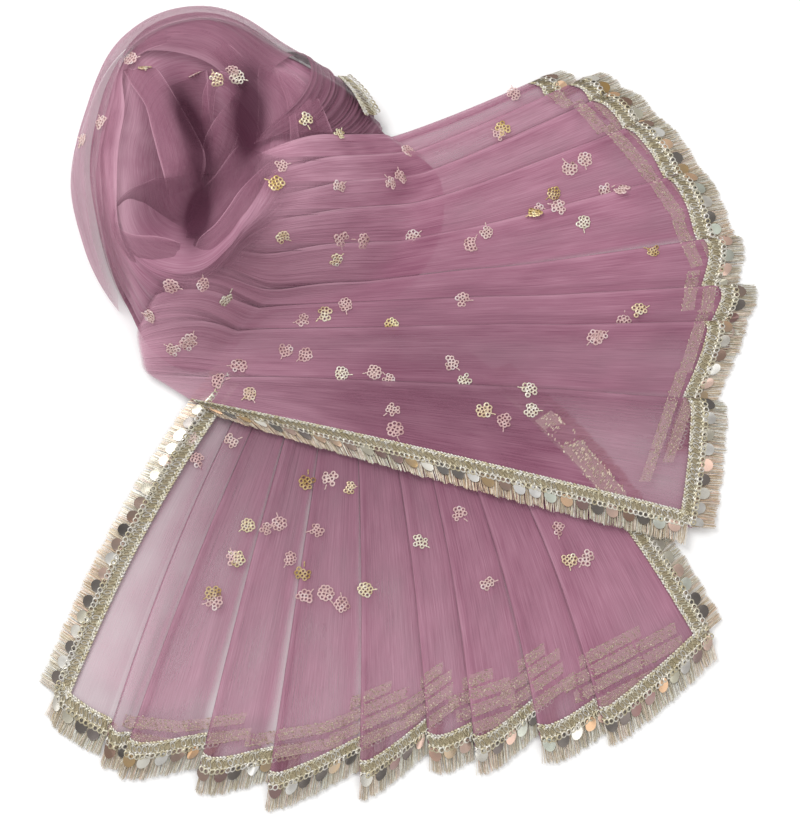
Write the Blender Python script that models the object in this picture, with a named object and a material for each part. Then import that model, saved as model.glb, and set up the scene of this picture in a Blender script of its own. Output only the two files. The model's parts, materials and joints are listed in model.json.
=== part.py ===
"""Soft net dupatta stole, heaped on a table.

The gathered length comes up from the lower tail, turns over in a loop and comes back to the right as
the upper tail. Both tails are knife-pleated fans whose hem carries a braid trim with a fringe.
All sizes are in millimetres, with X to the right, Y away from the viewer and Z up from the table.
"""
import math
from collections import namedtuple

import bmesh
import bpy
import numpy as np

MM = 0.001
MIDDLE_X = 4.65         # middle of the whole outline, which becomes the origin
MIDDLE_Y = 11.53

# Cloth and trim
NET_WALL = 1.0
LAYER_PITCH = 1.6       # between the middles of two folded layers
SEAM_GAP = 0.4
SKIN_LIFT = 0.5 * NET_WALL + SEAM_GAP   # middle of a wall that lies on another piece
FOLD_RADIUS = 0.9
BRAID_WIDTH = 9.5
BRAID_WALL = 0.8
LOCK_PITCH = 8.0        # one fringe lock and the gap beside it
LOCK_FILL = 0.66
LOCK_LENGTH = 15.0
LOCK_TAPER = 0.55
TIP_CLEARANCE = 0.8     # middle of a lock's tip above what it hangs over
EDGE_SEAM = 1.0         # a trim begins this far inside a fold
NOTCH_SEAM = 3.0        # and ends this far before the next pleat

# Heap of hidden layers under the turn, in polar sections about its hollow
HEAP_X = -122.0
HEAP_Y = 155.0
HOLLOW_FLOOR = 14.0
Section = namedtuple("Section", "angle foot crest height fullness")
HEAP_SECTIONS = (
    Section(0, 148, 44, 50, 0.0),
    Section(15, 118, 46, 45, 0.5),
    Section(30, 110, 52, 42, 0.9),
    Section(60, 98, 60, 42, 1.0),
    Section(90, 107, 74, 46, 1.0),
    Section(120, 98, 76, 48, 1.0),
    Section(150, 78, 58, 50, 1.0),
    Section(180, 72, 55, 50, 1.0),
    Section(210, 76, 60, 52, 1.0),
    Section(240, 98, 78, 54, 0.8),
    Section(255, 119, 80, 54, 0.4),
    Section(270, 127, 77, 54, 0.15),
    Section(285, 105, 66, 55, 0.0),
    Section(300, 100, 56, 56, 0.0),
    Section(330, 145, 46, 54, 0.0),
)
HEAP_STEPS_ROUND = 40
HEAP_STEPS_UP = (0.0, 0.07, 0.14, 0.22, 0.3, 0.42, 0.56, 0.72, 0.88, 1.0, 1.2, 1.45, 1.7)
LEDGE_DEPTH = 1.4       # edges of the folded layers round the heap's foot
LEDGES = 3

# Knife pleats: each runs from its fold to a notch, where the next pleat covers it, and on by the tuck
Pleat = namedtuple("Pleat", "neck_x neck_y fold_x fold_y notch_x notch_y tuck")
LOWER_PLEATS = (
    Pleat(-92, 48, -208, -176, -178, -197, 4),
    Pleat(-79, 48, -176, -205, -167, -206, 24),
    Pleat(-67, 48, -165, -213, -123, -207, 22),
    Pleat(-54, 48, -120, -222, -85, -216, 26),
    Pleat(-41, 48, -79, -233, -30, -211, 24),
    Pleat(-29, 48, -24, -227, 15, -198, 18),
    Pleat(-16, 48, 17, -210, 42, -201, 20),
    Pleat(-3, 48, 45, -212, 77, -189, 22),
    Pleat(9, 48, 84, -205, 117, -187, 24),
    Pleat(22, 48, 122, -195, 188, -139, 0),
)
LOWER_END = (36, 48)
UPPER_PLEATS = (
    Pleat(-96, 158, 93, 227, 101, 219, 12),
    Pleat(-88, 141, 119, 226, 131, 212, 12),
    Pleat(-83, 124, 134, 215, 153, 193, 14),
    Pleat(-90, 107, 155, 195, 178, 160, 16),
    Pleat(-103, 90, 181, 160, 196, 122, 16),
    Pleat(-121, 75, 204, 117, 200, 87, 12),
    Pleat(-145, 68, 212, 85, 205, 62, 16),
    Pleat(-165, 54, 203, 61, 186, 15, 24),
    Pleat(-160, 27, 190, 10, 178, -73, 0),
)
UPPER_END = (-124, 4)
LOWER_BOW = (-9.0, 14.0)   # how far the first and last fold lines bow sideways
UPPER_BOW = (6.0, 0.0)
LOWER_ROWS = 7
UPPER_ROWS = 12
UNDER_FOLD = 5.0           # the upper tail's first edge is folded under by this much
NECK_TUCK = 0.25           # share of a tuck that is left at the neck
LOWER_STACK = 4.6          # height of the lower tail under the upper one
STACK_RAMP = 45.0          # the upper tail comes down to the table over this distance
HEAP_LIFT = 3.2            # the upper tail above the heap, clear of the turn's stretches
HEAP_SLACK = 0.3           # the hidden layers sink this far from the cloth over them
TAIL_SLACK = 3.5           # and this much more under the upper tail
TAIL_SECTOR = (242.0, 385.0)
SECTOR_MARGIN = 60.0       # angles this far before the sector count from its start
SECTOR_BLEND = 25.0        # degrees over which the slack grows inside the sector
SLACK_ENDS = 0.8           # the slack ends between this w and the crest
SLACK_GROWS = 6.0          # and is whole from 1 / 6 up the side
STACK_MARGIN = 5.0         # past the lower tail's fringe before the ramp starts
STACK_BLEND = 6.0          # roundness, in mm2, where the ramp meets the heap
STACK_RISE = 0.6           # and the rise that keeps the joined skin clear

# Stretches of the turn, in stations round the heap: 0 is its foot, 1 its crest and 2 the hollow
Station = namedtuple("Station", "angle outer inner lift_outer lift_inner")
TURN_TOP = (
    Station(55, 0.0, 1.14, 0, 0),
    Station(70, 0.0, 1.19, 0, 1),
    Station(88, 0.0, 1.16, 0, 4),
    Station(108, 0.0, 1.08, 0, 3),
    Station(127, 0.0, 0.92, 0, 0),
)
TURN_LEFT = (
    Station(128, 0.0, 0.80, 0, 1),
    Station(145, 0.0, 1.00, 0, 3),
    Station(170, 0.0, 1.05, 0, 3),
    Station(205, 0.0, 1.02, 0, 2),
    Station(240, 0.0, 0.90, 0, 0),
)
VEIL = (
    Station(72, 0.0, 0.50, 4, 5),
    Station(104, 0.0, 0.55, 8, 7),
    Station(124, 0.0, 0.55, 9, 6),
    Station(150, 0.0, 0.60, 12, 7),
    Station(182, 0.0, 0.55, 15, 7),
    Station(215, 0.0, 0.55, 12, 6),
    Station(240, 0.0, 0.50, 5, 5),
)
STRETCH_COLUMNS = 11
STRETCH_ROWS = 9
TURN_CREASE = 1.6
VEIL_CREASE = 0.6
SHOULDER_ANGLES = (62.0, 19.0)                  # along the heap's foot
SHOULDER_ENDS = ((-92, 163), (-14, 182))        # under the upper tail's edge
SHOULDER_WAVES = 8
SHOULDER_WAVE = 3.0
SHOULDER_BRAID_ANGLES = (36.0, 20.0)
SHOULDER_BRAID_EDGES = (0.20, 0.38)
SHOULDER_BRAID_LIFT = 2.2                       # over the pleats' tops
SHOULDER_STEP = 2.4                             # where it lies on the top stretch

# Petals of the rose in the hollow, each a strip between two edges
Petal = namedtuple("Petal", "left_x left_y left_lift right_x right_y right_lift bulge")
PETALS = {
    "net_rose_band": (
        Petal(-163, 201, 1, -153, 212, 4, 1),
        Petal(-158, 184, 1, -143, 195, 6, 2),
        Petal(-153, 167, 1, -134, 176, 7, 3),
        Petal(-147, 150, 4, -127, 158, 4, 2),
    ),
    "net_rose_cup": (
        Petal(-141, 143, 9, -128, 149, 12, 2),
        Petal(-159, 132, 8, -129, 131, 12, -8),
        Petal(-172, 118, 6, -131, 115, 10, -9),
        Petal(-171, 104, 5, -134, 98, 5, 0),
    ),
    "net_rose_lip": (
        Petal(-172, 95, 5, -167, 101, 1, 0),
        Petal(-160, 80, 4, -157, 98, 1, 3),
        Petal(-145, 76, 3, -145, 95, 1, 4),
        Petal(-128, 79, 3, -132, 93, 1, 2),
    ),
    "net_rose_fold_inner": (
        Petal(-113, 140, 10, -89, 138, 1, 3),
        Petal(-122, 125, 9, -99, 118, 1, 4),
        Petal(-126, 111, 7, -111, 105, 1, 3),
        Petal(-129, 97, 4, -123, 93, 1, 1),
    ),
    "net_rose_fold_outer": (
        Petal(-87, 137, 4, -86, 129, 0, 0),
        Petal(-97, 117, 6, -92, 111, 0, 2),
        Petal(-109, 103, 6, -105, 93, 0, 3),
        Petal(-121, 90, 5, -118, 82, 0, 1),
    ),
    "net_rose_bud": (
        Petal(-125, 172, 1, -117, 163, 8, 1),
        Petal(-133, 186, 1, -112, 181, 12, 5),
        Petal(-130, 200, 1, -104, 192, 13, 6),
        Petal(-121, 207, 1, -106, 204, 7, 3),
    ),
}
PETAL_SEAT = 0.5 * NET_WALL + 0.1   # lowest middle of a petal's wall over the heap's skin
PETAL_COLUMNS = 8
PETAL_ROWS = 6

# Colours (linear RGB) of the net, the layers under it and the metallic trim
NET_COLOUR = (0.42, 0.20, 0.33)
HEAP_COLOUR = (0.20, 0.07, 0.15)
TRIM_COLOUR = (0.62, 0.52, 0.33)


def material(name, colour, roughness, metallic=0.0):
    finish = bpy.data.materials.get(name) or bpy.data.materials.new(name)
    finish.use_nodes = True
    shader = finish.node_tree.nodes["Principled BSDF"]
    shader.inputs["Base Color"].default_value = (*colour, 1.0)
    shader.inputs["Roughness"].default_value = roughness
    shader.inputs["Metallic"].default_value = metallic
    return finish


def ease(x):
    x = np.clip(x, 0.0, 1.0)
    return x * x * (3.0 - 2.0 * x)


def through(rows, s):
    """Point at s, from 0 to 1, of a smooth curve through table rows."""
    rows = np.asarray(rows, float)
    place = np.clip(s, 0.0, 1.0) * (len(rows) - 1)
    k = min(int(place), len(rows) - 2)
    t = place - k
    before, after = rows[max(k - 1, 0)], rows[min(k + 2, len(rows) - 1)]
    a, b = rows[k], rows[k + 1]
    return 0.5 * (2 * a + (b - before) * t + (2 * before - 5 * a + 4 * b - after) * t * t
                  + (3 * a - before - 3 * b + after) * t ** 3)


def unit(vector):
    return vector / np.linalg.norm(vector)


# The heap

def heap_section(angle):
    """Foot, crest, height and fullness at an angle in degrees, smooth all round."""
    rows = np.array(HEAP_SECTIONS, float)
    angles = np.concatenate([rows[-2:, 0] - 360, rows[:, 0], rows[:3, 0] + 360])
    values = np.concatenate([rows[-2:, 1:], rows[:, 1:], rows[:3, 1:]])
    angle = angle % 360.0
    k = int(np.searchsorted(angles, angle, side="right")) - 1
    span = angles[k + 1] - angles[k]
    t = (angle - angles[k]) / span
    slope_a = (values[k + 1] - values[k - 1]) / (angles[k + 1] - angles[k - 1]) * span
    slope_b = (values[k + 2] - values[k]) / (angles[k + 2] - angles[k]) * span
    return (values[k] * (2 * t ** 3 - 3 * t * t + 1) + slope_a * (t ** 3 - 2 * t * t + t)
            + values[k + 1] * (3 * t * t - 2 * t ** 3) + slope_b * (t ** 3 - t * t))


def heap_height(x, y):
    """Height of the heap's top over a place on the table, 0 outside its foot."""
    dx, dy = x - HEAP_X, y - HEAP_Y
    radius = math.hypot(dx, dy)
    foot, crest, height, fullness = heap_section(math.degrees(math.atan2(dy, dx)))
    if radius >= foot:
        return 0.0
    if radius < crest:
        return HOLLOW_FLOOR + (height - HOLLOW_FLOOR) * (0.5 - 0.5 * math.cos(math.pi * radius / crest))
    s = (foot - radius) / (foot - crest)
    slope = 0.5 - 0.5 * math.cos(math.pi * s)
    dome = math.sqrt(1.0 - (1.0 - s) ** 2)
    return height * (slope + (dome - slope) * np.clip(fullness, 0.0, 1.0))


def heap_point(angle, w):
    """Point on the heap: w is 0 at the foot, 1 on the crest and 2 in the middle of the hollow."""
    foot, crest, height, fullness = heap_section(angle)
    fullness = np.clip(fullness, 0.0, 1.0)
    if w <= 1.0:
        s = 1.0 - math.cos(0.5 * math.pi * w)
        radius = foot - (foot - crest) * s
        slope = 0.5 - 0.5 * math.cos(math.pi * s)
        z = height * (slope + (math.sin(0.5 * math.pi * w) - slope) * fullness)
    else:
        radius = crest * (2.0 - w)
        z = HOLLOW_FLOOR + (height - HOLLOW_FLOOR) * (0.5 - 0.5 * math.cos(math.pi * radius / crest))
    turn = math.radians(angle)
    return np.array([HEAP_X + radius * math.cos(turn), HEAP_Y + radius * math.sin(turn), z])


def on_side(angle, w, lift):
    """Point lifted off the heap's skin, at an angle and w."""
    w = max(w, 0.0)
    low, high = max(w - 0.02, 0.0), w + 0.02
    along = heap_point(angle, high) - heap_point(angle, low)
    around = heap_point(angle + 0.5, w) - heap_point(angle - 0.5, w)
    out = unit(np.cross(around, along))
    if w < 0.04:
        out = unit(out * (1.0, 1.0, w / 0.04))
    return heap_point(angle, w) + out * lift


def heap_place(x, y):
    """Angle and w of a place on the upper side of the heap."""
    dx, dy = x - HEAP_X, y - HEAP_Y
    angle = math.degrees(math.atan2(dy, dx))
    radius = math.hypot(dx, dy)
    foot, crest = heap_section(angle)[:2]
    if radius < crest:
        return angle, 2.0 - radius / crest
    s = np.clip((foot - radius) / (foot - crest), 0.0, 1.0)
    return angle, math.acos(1.0 - s) / (0.5 * math.pi)


def on_top(x, y, lift, surface):
    """Point lifted off a height function along its normal."""
    step = 1.5
    slope_x = (surface(x + step, y) - surface(x - step, y)) / (2 * step)
    slope_y = (surface(x, y + step) - surface(x, y - step)) / (2 * step)
    out = unit(np.array([-slope_x, -slope_y, 1.0]))
    return np.array([x, y, surface(x, y)]) + out * lift


def under_upper_tail(x, y):
    """Height of what the upper tail lies on: the lower tail, the heap, or the table."""
    edge = np.array(LOWER_PLEATS[-1][4:6]) - LOWER_END
    across = unit(np.array([-edge[1], edge[0]]))
    beyond = float(np.dot(np.array([x, y]) - LOWER_END, across)) - LOCK_LENGTH - STACK_MARGIN
    stack = LOWER_STACK * (1.0 - ease(beyond / STACK_RAMP))
    heap = heap_height(x, y) + HEAP_LIFT
    if heap <= HEAP_LIFT:
        return stack
    rounded = stack + heap + math.sqrt((stack - heap) ** 2 + STACK_BLEND)
    return 0.5 * (rounded - math.sqrt(STACK_BLEND)) + STACK_RISE


def table(x, y):
    return 0.0


# Walls

def add_object(name, mesh_builder, finish):
    """A new object of one closed body with its faces outwards, about the origin."""
    bmesh.ops.recalc_face_normals(mesh_builder, faces=mesh_builder.faces)
    mesh = bpy.data.meshes.new(name)
    mesh_builder.to_mesh(mesh)
    mesh_builder.free()
    mesh.shade_smooth()
    mesh.set_sharp_from_angle(angle=math.radians(50))
    mesh.materials.append(finish)
    made = bpy.data.objects.new(name, mesh)
    bpy.context.collection.objects.link(made)
    return made


def to_metres(point):
    return ((point[0] - MIDDLE_X) * MM, (point[1] - MIDDLE_Y) * MM, max(point[2], 0.0) * MM)


def wall_mesh(grid, thickness):
    """A closed wall round a grid of middle points, and its faces along the last row's end."""
    grid = np.asarray(grid, float)
    normals = np.cross(np.gradient(grid, axis=0), np.gradient(grid, axis=1))
    normals /= np.linalg.norm(normals, axis=2, keepdims=True)
    made = bmesh.new()
    top = [[made.verts.new(to_metres(p)) for p in line] for line in grid + normals * thickness / 2]
    base = [[made.verts.new(to_metres(p)) for p in line] for line in grid - normals * thickness / 2]
    across, along = grid.shape[0] - 1, grid.shape[1] - 1
    for i in range(across):
        for j in range(along):
            made.faces.new((top[i][j], top[i + 1][j], top[i + 1][j + 1], top[i][j + 1]))
            made.faces.new((base[i][j], base[i][j + 1], base[i + 1][j + 1], base[i + 1][j]))
    end_faces = []
    for i in range(across):
        made.faces.new((top[i][0], base[i][0], base[i + 1][0], top[i + 1][0]))
        end_faces.append(made.faces.new((top[i + 1][along], base[i + 1][along], base[i][along], top[i][along])))
    for j in range(along):
        made.faces.new((top[0][j + 1], base[0][j + 1], base[0][j], top[0][j]))
        made.faces.new((top[across][j], base[across][j], base[across][j + 1], top[across][j + 1]))
    return made, end_faces


# Tails

Tail = namedtuple("Tail", "pleats end bow folded_under surface crowding")
LOWER_TAIL = Tail(LOWER_PLEATS, LOWER_END, LOWER_BOW, False, table, 1.0)
UPPER_TAIL = Tail(UPPER_PLEATS, UPPER_END, UPPER_BOW, True, under_upper_tail, 1.3)


def pleat_lines(tail, i, v):
    """Fold, notch and tuck of pleat i in plan, with v 0 at the neck and 1 at the hem."""
    pleat = tail.pleats[i]
    count = len(tail.pleats)
    after = tail.pleats[i + 1][:2] if i + 1 < count else tail.end

    def line(neck, hem, share):
        neck, hem = np.array(neck, float), np.array(hem, float)
        run = unit(hem - neck)
        side = np.array([-run[1], run[0]]) * (1 if run[1] < 0 else -1)
        bow = tail.bow[0] + (tail.bow[1] - tail.bow[0]) * share
        return neck + (hem - neck) * v + side * bow * math.sin(math.pi * min(v, 1.0))

    fold = line(pleat[:2], pleat[2:4], i / count)
    notch = line(after, pleat[4:6], (i + 1) / count)
    tuck = notch + unit(notch - fold) * pleat.tuck * (NECK_TUCK + (1 - NECK_TUCK) * v)
    return fold, notch, tuck


def pleat_levels(tail, i, v):
    """Along pleat i: the distance that stays high, over the last tuck, and where it is down again."""
    fold, notch, _ = pleat_lines(tail, i, v)
    down = np.linalg.norm(notch - fold)
    if i:
        high = tail.pleats[i - 1].tuck * (NECK_TUCK + (1 - NECK_TUCK) * v) + 1.5
        top_level = 2.0
    else:
        high = UNDER_FOLD + 1.0 if tail.folded_under else 0.0
        top_level = 1.0 if tail.folded_under else 0.0
    if i + 1 == len(tail.pleats):
        down *= 0.6
    return min(high, down - 3.0), down, top_level


def panel_point(tail, i, distance, v, level=None, lift=0.0):
    """Point of pleat i's upper side, at a distance from its fold."""
    fold, notch, _ = pleat_lines(tail, i, v)
    if level is None:
        high, down, top_level = pleat_levels(tail, i, v)
        at = distance - (0.6 * LOCK_PITCH if lift else 0.0)
        level = top_level * (1.0 - np.clip((at - high) / (down - high), 0.0, 1.0))
    place = fold + unit(notch - fold) * distance
    height = 0.5 * NET_WALL + level * LAYER_PITCH + lift
    return on_top(place[0], place[1], height, tail.surface)


def tail_column(tail, v):
    """One row of the tail's cloth, folded to and fro from its first edge to its last."""
    points = []
    for i in range(len(tail.pleats)):
        fold, notch, tuck = pleat_lines(tail, i, v)
        high, down, top_level = pleat_levels(tail, i, v)
        if i or tail.folded_under:
            low = top_level - 1.0
            if not i:
                points.append(panel_point(tail, i, UNDER_FOLD, v, low))
            points.append(panel_point(tail, i, FOLD_RADIUS, v, low))
            points.append(panel_point(tail, i, 0.0, v, low + 0.5))
            points.append(panel_point(tail, i, FOLD_RADIUS, v, low + 1.0))
        else:
            points.append(panel_point(tail, i, 0.0, v))
        for distance in (max(high, 3.0), 0.5 * (high + down), down):
            points.append(panel_point(tail, i, distance, v))
        reach = np.linalg.norm(tuck - fold)
        if i + 1 < len(tail.pleats):
            points.append(panel_point(tail, i, reach - FOLD_RADIUS, v, 0.0))
            points.append(panel_point(tail, i, reach, v, 0.5))
            points.append(panel_point(tail, i, reach - FOLD_RADIUS, v, 1.0))
        else:
            points.append(panel_point(tail, i, np.linalg.norm(notch - fold), v, 0.0))
    return points


def braid_row(tail, i):
    """Where the braid's inner edge crosses pleat i, on the scale of v."""
    pleat = tail.pleats[i]
    return 1.0 - BRAID_WIDTH / math.dist(pleat[:2], pleat[2:4])


def add_tail(name, tail, rows, finish):
    inner = braid_row(tail, len(tail.pleats) // 2)
    steps = [*(inner * np.linspace(0.0, 1.0, rows - 1) ** tail.crowding), 1.0]
    columns = [tail_column(tail, v) for v in steps]
    made, _ = wall_mesh(np.transpose(np.array(columns), (1, 0, 2)), NET_WALL)
    add_object(name, made, finish)


# Trims

def add_trim(name, inner, outer, tips, finish):
    """A braid strip between two lines, with a fringe lock on every second stretch of its outer side."""
    grid = np.array([inner, outer]).transpose(1, 0, 2)
    made, outer_faces = wall_mesh(grid, BRAID_WALL)
    for k, face in enumerate(outer_faces):
        if k % 2:
            continue
        middle = 0.5 * (np.array(tips[k]) + np.array(tips[k + 1]))
        root = 0.5 * (grid[k, 1] + grid[k + 1, 1])
        lock = bmesh.ops.extrude_discrete_faces(made, faces=[face])["faces"][0]
        for vert in lock.verts:
            here = np.array(vert.co) / MM + (MIDDLE_X, MIDDLE_Y, 0.0)
            vert.co = to_metres(middle + (here - root) * LOCK_TAPER)
    add_object(name, made, finish)


def lock_marks(start, end):
    """Places along a trim where its locks begin and end."""
    count = max(1, round((end - start) / LOCK_PITCH))
    pitch = (end - start) / count
    marks = []
    for k in range(count):
        marks.extend((start + k * pitch, start + (k + LOCK_FILL) * pitch))
    marks.append(end)
    return marks


def fringe_tip(root, direction, surface):
    """Tip of a lock that hangs out from its root, just above what lies under it."""
    place = np.array(root[:2]) + unit(direction) * LOCK_LENGTH
    return np.array([place[0], place[1], surface(place[0], place[1]) + TIP_CLEARANCE])


def add_hem_trim(name, tail, i, finish):
    """The trim along the hem of one pleat, as far as the next pleat leaves it in view."""
    lift = 0.5 * NET_WALL + SEAM_GAP + 0.5 * BRAID_WALL
    fold, notch, _ = pleat_lines(tail, i, 1.0)
    end = np.linalg.norm(notch - fold) - (EDGE_SEAM if i + 1 == len(tail.pleats) else NOTCH_SEAM)
    marks = lock_marks(EDGE_SEAM + 0.5, end)
    inner_v = braid_row(tail, len(tail.pleats) // 2)
    inner, outer, tips = [], [], []
    for distance in marks:
        inner.append(panel_point(tail, i, distance, inner_v, lift=lift))
        outer.append(panel_point(tail, i, distance, 1.0, lift=lift))
        run = outer[-1][:2] - panel_point(tail, i, distance, 0.9)[:2]
        tips.append(fringe_tip(outer[-1], run, tail.surface))
    add_trim(name, inner, outer, tips, finish)


def add_side_trim(name, tail, i, from_v, finish):
    """The trim up a tail's straight side edge, from a height to just above the hem's braid."""
    lift = 0.5 * NET_WALL + SEAM_GAP + 0.5 * BRAID_WALL
    first = i == 0
    length = np.linalg.norm(pleat_lines(tail, i, 1.0)[1] - pleat_lines(tail, i, 0.0)[1])
    until = braid_row(tail, len(tail.pleats) // 2) - 1.0 / length
    inner, outer, tips = [], [], []
    for v in lock_marks(from_v * length, until * length):
        v /= length
        fold, notch, _ = pleat_lines(tail, i, v)
        width = np.linalg.norm(notch - fold)
        at_edge, at_braid = (0.4, BRAID_WIDTH) if first else (width - 0.4, width - BRAID_WIDTH)
        level = 0.0
        outer.append(panel_point(tail, i, at_edge, v, level, lift))
        inner.append(panel_point(tail, i, at_braid, v, level, lift))
        before, after = (pleat_lines(tail, i, v + step)[0 if first else 1] for step in (-0.02, 0.02))
        run = unit(after - before)
        out = np.array([-run[1], run[0]])
        if np.dot(out, outer[-1][:2] - inner[-1][:2]) < 0:
            out = -out
        tips.append(fringe_tip(outer[-1], out, tail.surface))
    add_trim(name, inner, outer, tips, finish)


# Turn

def add_stretch(name, stations, crease, finish):
    """A stretch of cloth round the heap, creased along its run."""
    grid = []
    for a in np.linspace(0.0, 1.0, STRETCH_COLUMNS):
        angle, outer, inner, lift_outer, lift_inner = through(stations, a)
        line = []
        for b in np.linspace(0.0, 1.0, STRETCH_ROWS):
            fade = min(1.0, 4 * a, 4 * (1 - a)) * math.sin(math.pi * b)
            fold = crease * (0.5 - 0.5 * math.cos(5 * math.pi * b + 2.0 * a)) * fade
            lift = SKIN_LIFT + lift_outer + (lift_inner - lift_outer) * b + fold
            line.append(on_side(angle, outer + (inner - outer) * b, lift))
        grid.append(line)
    made, _ = wall_mesh(grid, NET_WALL)
    add_object(name, made, finish)


def add_shoulder(finish):
    """The gathered pleats that come up out of the lower tail and turn over the heap's right side."""
    columns = 4 * SHOULDER_WAVES + 1
    grid = []
    for a in np.linspace(0.0, 1.0, columns):
        foot_angle = SHOULDER_ANGLES[0] + (SHOULDER_ANGLES[1] - SHOULDER_ANGLES[0]) * a
        end = np.array(SHOULDER_ENDS[0]) + (np.array(SHOULDER_ENDS[1]) - SHOULDER_ENDS[0]) * a
        end_angle, end_w = heap_place(*end)
        line = []
        for b in np.linspace(0.0, 1.0, STRETCH_ROWS):
            wave = SHOULDER_WAVE * (0.5 - 0.5 * math.cos(2 * math.pi * SHOULDER_WAVES * a))
            wave *= math.sin(math.pi * b) ** 0.7 if 0 < b < 1 else 0.0
            over_top = SHOULDER_STEP * ease(1.0 - a / 0.5) * (1.0 - ease((b - 0.6) / 0.4))
            angle = foot_angle + (end_angle - foot_angle) * b
            line.append(on_side(angle, end_w * b, SKIN_LIFT + over_top + wave))
        grid.append(line)
    made, _ = wall_mesh(grid, NET_WALL)
    add_object("net_turn_shoulder", made, finish)


def add_shoulder_braid(finish):
    """The braid on the side edge of the cloth, where it turns over the shoulder."""
    grid = []
    for angle in np.linspace(*SHOULDER_BRAID_ANGLES, STRETCH_COLUMNS):
        grid.append([on_side(angle, w, SKIN_LIFT + SHOULDER_WAVE + SHOULDER_BRAID_LIFT) for w in SHOULDER_BRAID_EDGES])
    made, _ = wall_mesh(grid, BRAID_WALL)
    add_object("trim_shoulder", made, finish)


def add_petal(name, rows, finish):
    """A petal between two edges, standing off the hollow's side."""
    grid = []
    for a in np.linspace(0.0, 1.0, PETAL_ROWS):
        left_x, left_y, left_lift, right_x, right_y, right_lift, bulge = through(rows, a)
        line = []
        for b in np.linspace(0.0, 1.0, PETAL_COLUMNS):
            lift = left_lift + (right_lift - left_lift) * b + bulge * math.sin(math.pi * b)
            place = (left_x + (right_x - left_x) * b, left_y + (right_y - left_y) * b)
            line.append(on_top(*place, max(lift, PETAL_SEAT), heap_height))
        grid.append(line)
    made, _ = wall_mesh(grid, NET_WALL)
    add_object(name, made, finish)


def add_heap(finish):
    """The hidden layers: one rounded solid with a hollow, flat below and stepped round its foot."""
    made = bmesh.new()
    rings = []
    for k, w in enumerate(HEAP_STEPS_UP):
        ring = []
        for n in range(HEAP_STEPS_ROUND):
            angle = 360.0 * n / HEAP_STEPS_ROUND
            ledge = LEDGE_DEPTH * np.clip(heap_section(angle)[3], 0, 1) if k % 2 and k < 2 * LEDGES else 0.0
            into_sector = (angle + 360.0 if angle < TAIL_SECTOR[0] - SECTOR_MARGIN else angle) - TAIL_SECTOR[0]
            out_of_sector = TAIL_SECTOR[1] - TAIL_SECTOR[0] - into_sector
            under_tail = ease(into_sector / SECTOR_BLEND) * ease(out_of_sector / SECTOR_BLEND)
            outer_side = min(1.0, SLACK_GROWS * w) * (1.0 - ease((w - SLACK_ENDS) / (1.0 - SLACK_ENDS)))
            sunk = HEAP_SLACK + TAIL_SLACK * under_tail * outer_side
            ring.append(made.verts.new(to_metres(on_side(angle, w, -ledge - sunk))))
        rings.append(ring)
    for lower, upper in zip(rings, rings[1:]):
        for n in range(HEAP_STEPS_ROUND):
            m = (n + 1) % HEAP_STEPS_ROUND
            made.faces.new((lower[n], lower[m], upper[m], upper[n]))
    pole = made.verts.new(to_metres((HEAP_X, HEAP_Y, HOLLOW_FLOOR)))
    for n in range(HEAP_STEPS_ROUND):
        made.faces.new((rings[-1][n], rings[-1][(n + 1) % HEAP_STEPS_ROUND], pole))
    made.faces.new(list(reversed(rings[0])))
    add_object("hidden_layers", made, finish)


# Build

for old in list(bpy.data.objects):
    bpy.data.objects.remove(old, do_unlink=True)

net = material("soft_net", NET_COLOUR, 0.75)
layers = material("layered_net", HEAP_COLOUR, 0.85)
trim = material("metallic_braid", TRIM_COLOUR, 0.4, 0.8)

add_tail("net_lower_tail", LOWER_TAIL, LOWER_ROWS, net)
add_tail("net_upper_tail", UPPER_TAIL, UPPER_ROWS, net)
add_heap(layers)
add_stretch("net_turn_top", TURN_TOP, TURN_CREASE, net)
add_stretch("net_turn_left", TURN_LEFT, TURN_CREASE, net)
add_stretch("net_veil", VEIL, VEIL_CREASE, net)
add_shoulder(net)
add_shoulder_braid(trim)
for petal_name, petal_rows in PETALS.items():
    add_petal(petal_name, petal_rows, net)
for n in range(len(LOWER_PLEATS)):
    add_hem_trim(f"trim_lower_hem_{n + 1:02d}", LOWER_TAIL, n, trim)
for n in range(len(UPPER_PLEATS)):
    add_hem_trim(f"trim_upper_hem_{n + 1:02d}", UPPER_TAIL, n, trim)
add_side_trim("trim_lower_left", LOWER_TAIL, 0, 0.2, trim)
add_side_trim("trim_lower_right", LOWER_TAIL, len(LOWER_PLEATS) - 1, 0.45, trim)
add_side_trim("trim_upper_side", UPPER_TAIL, len(UPPER_PLEATS) - 1, 0.02, trim)
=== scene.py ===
import math
from collections import namedtuple

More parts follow.
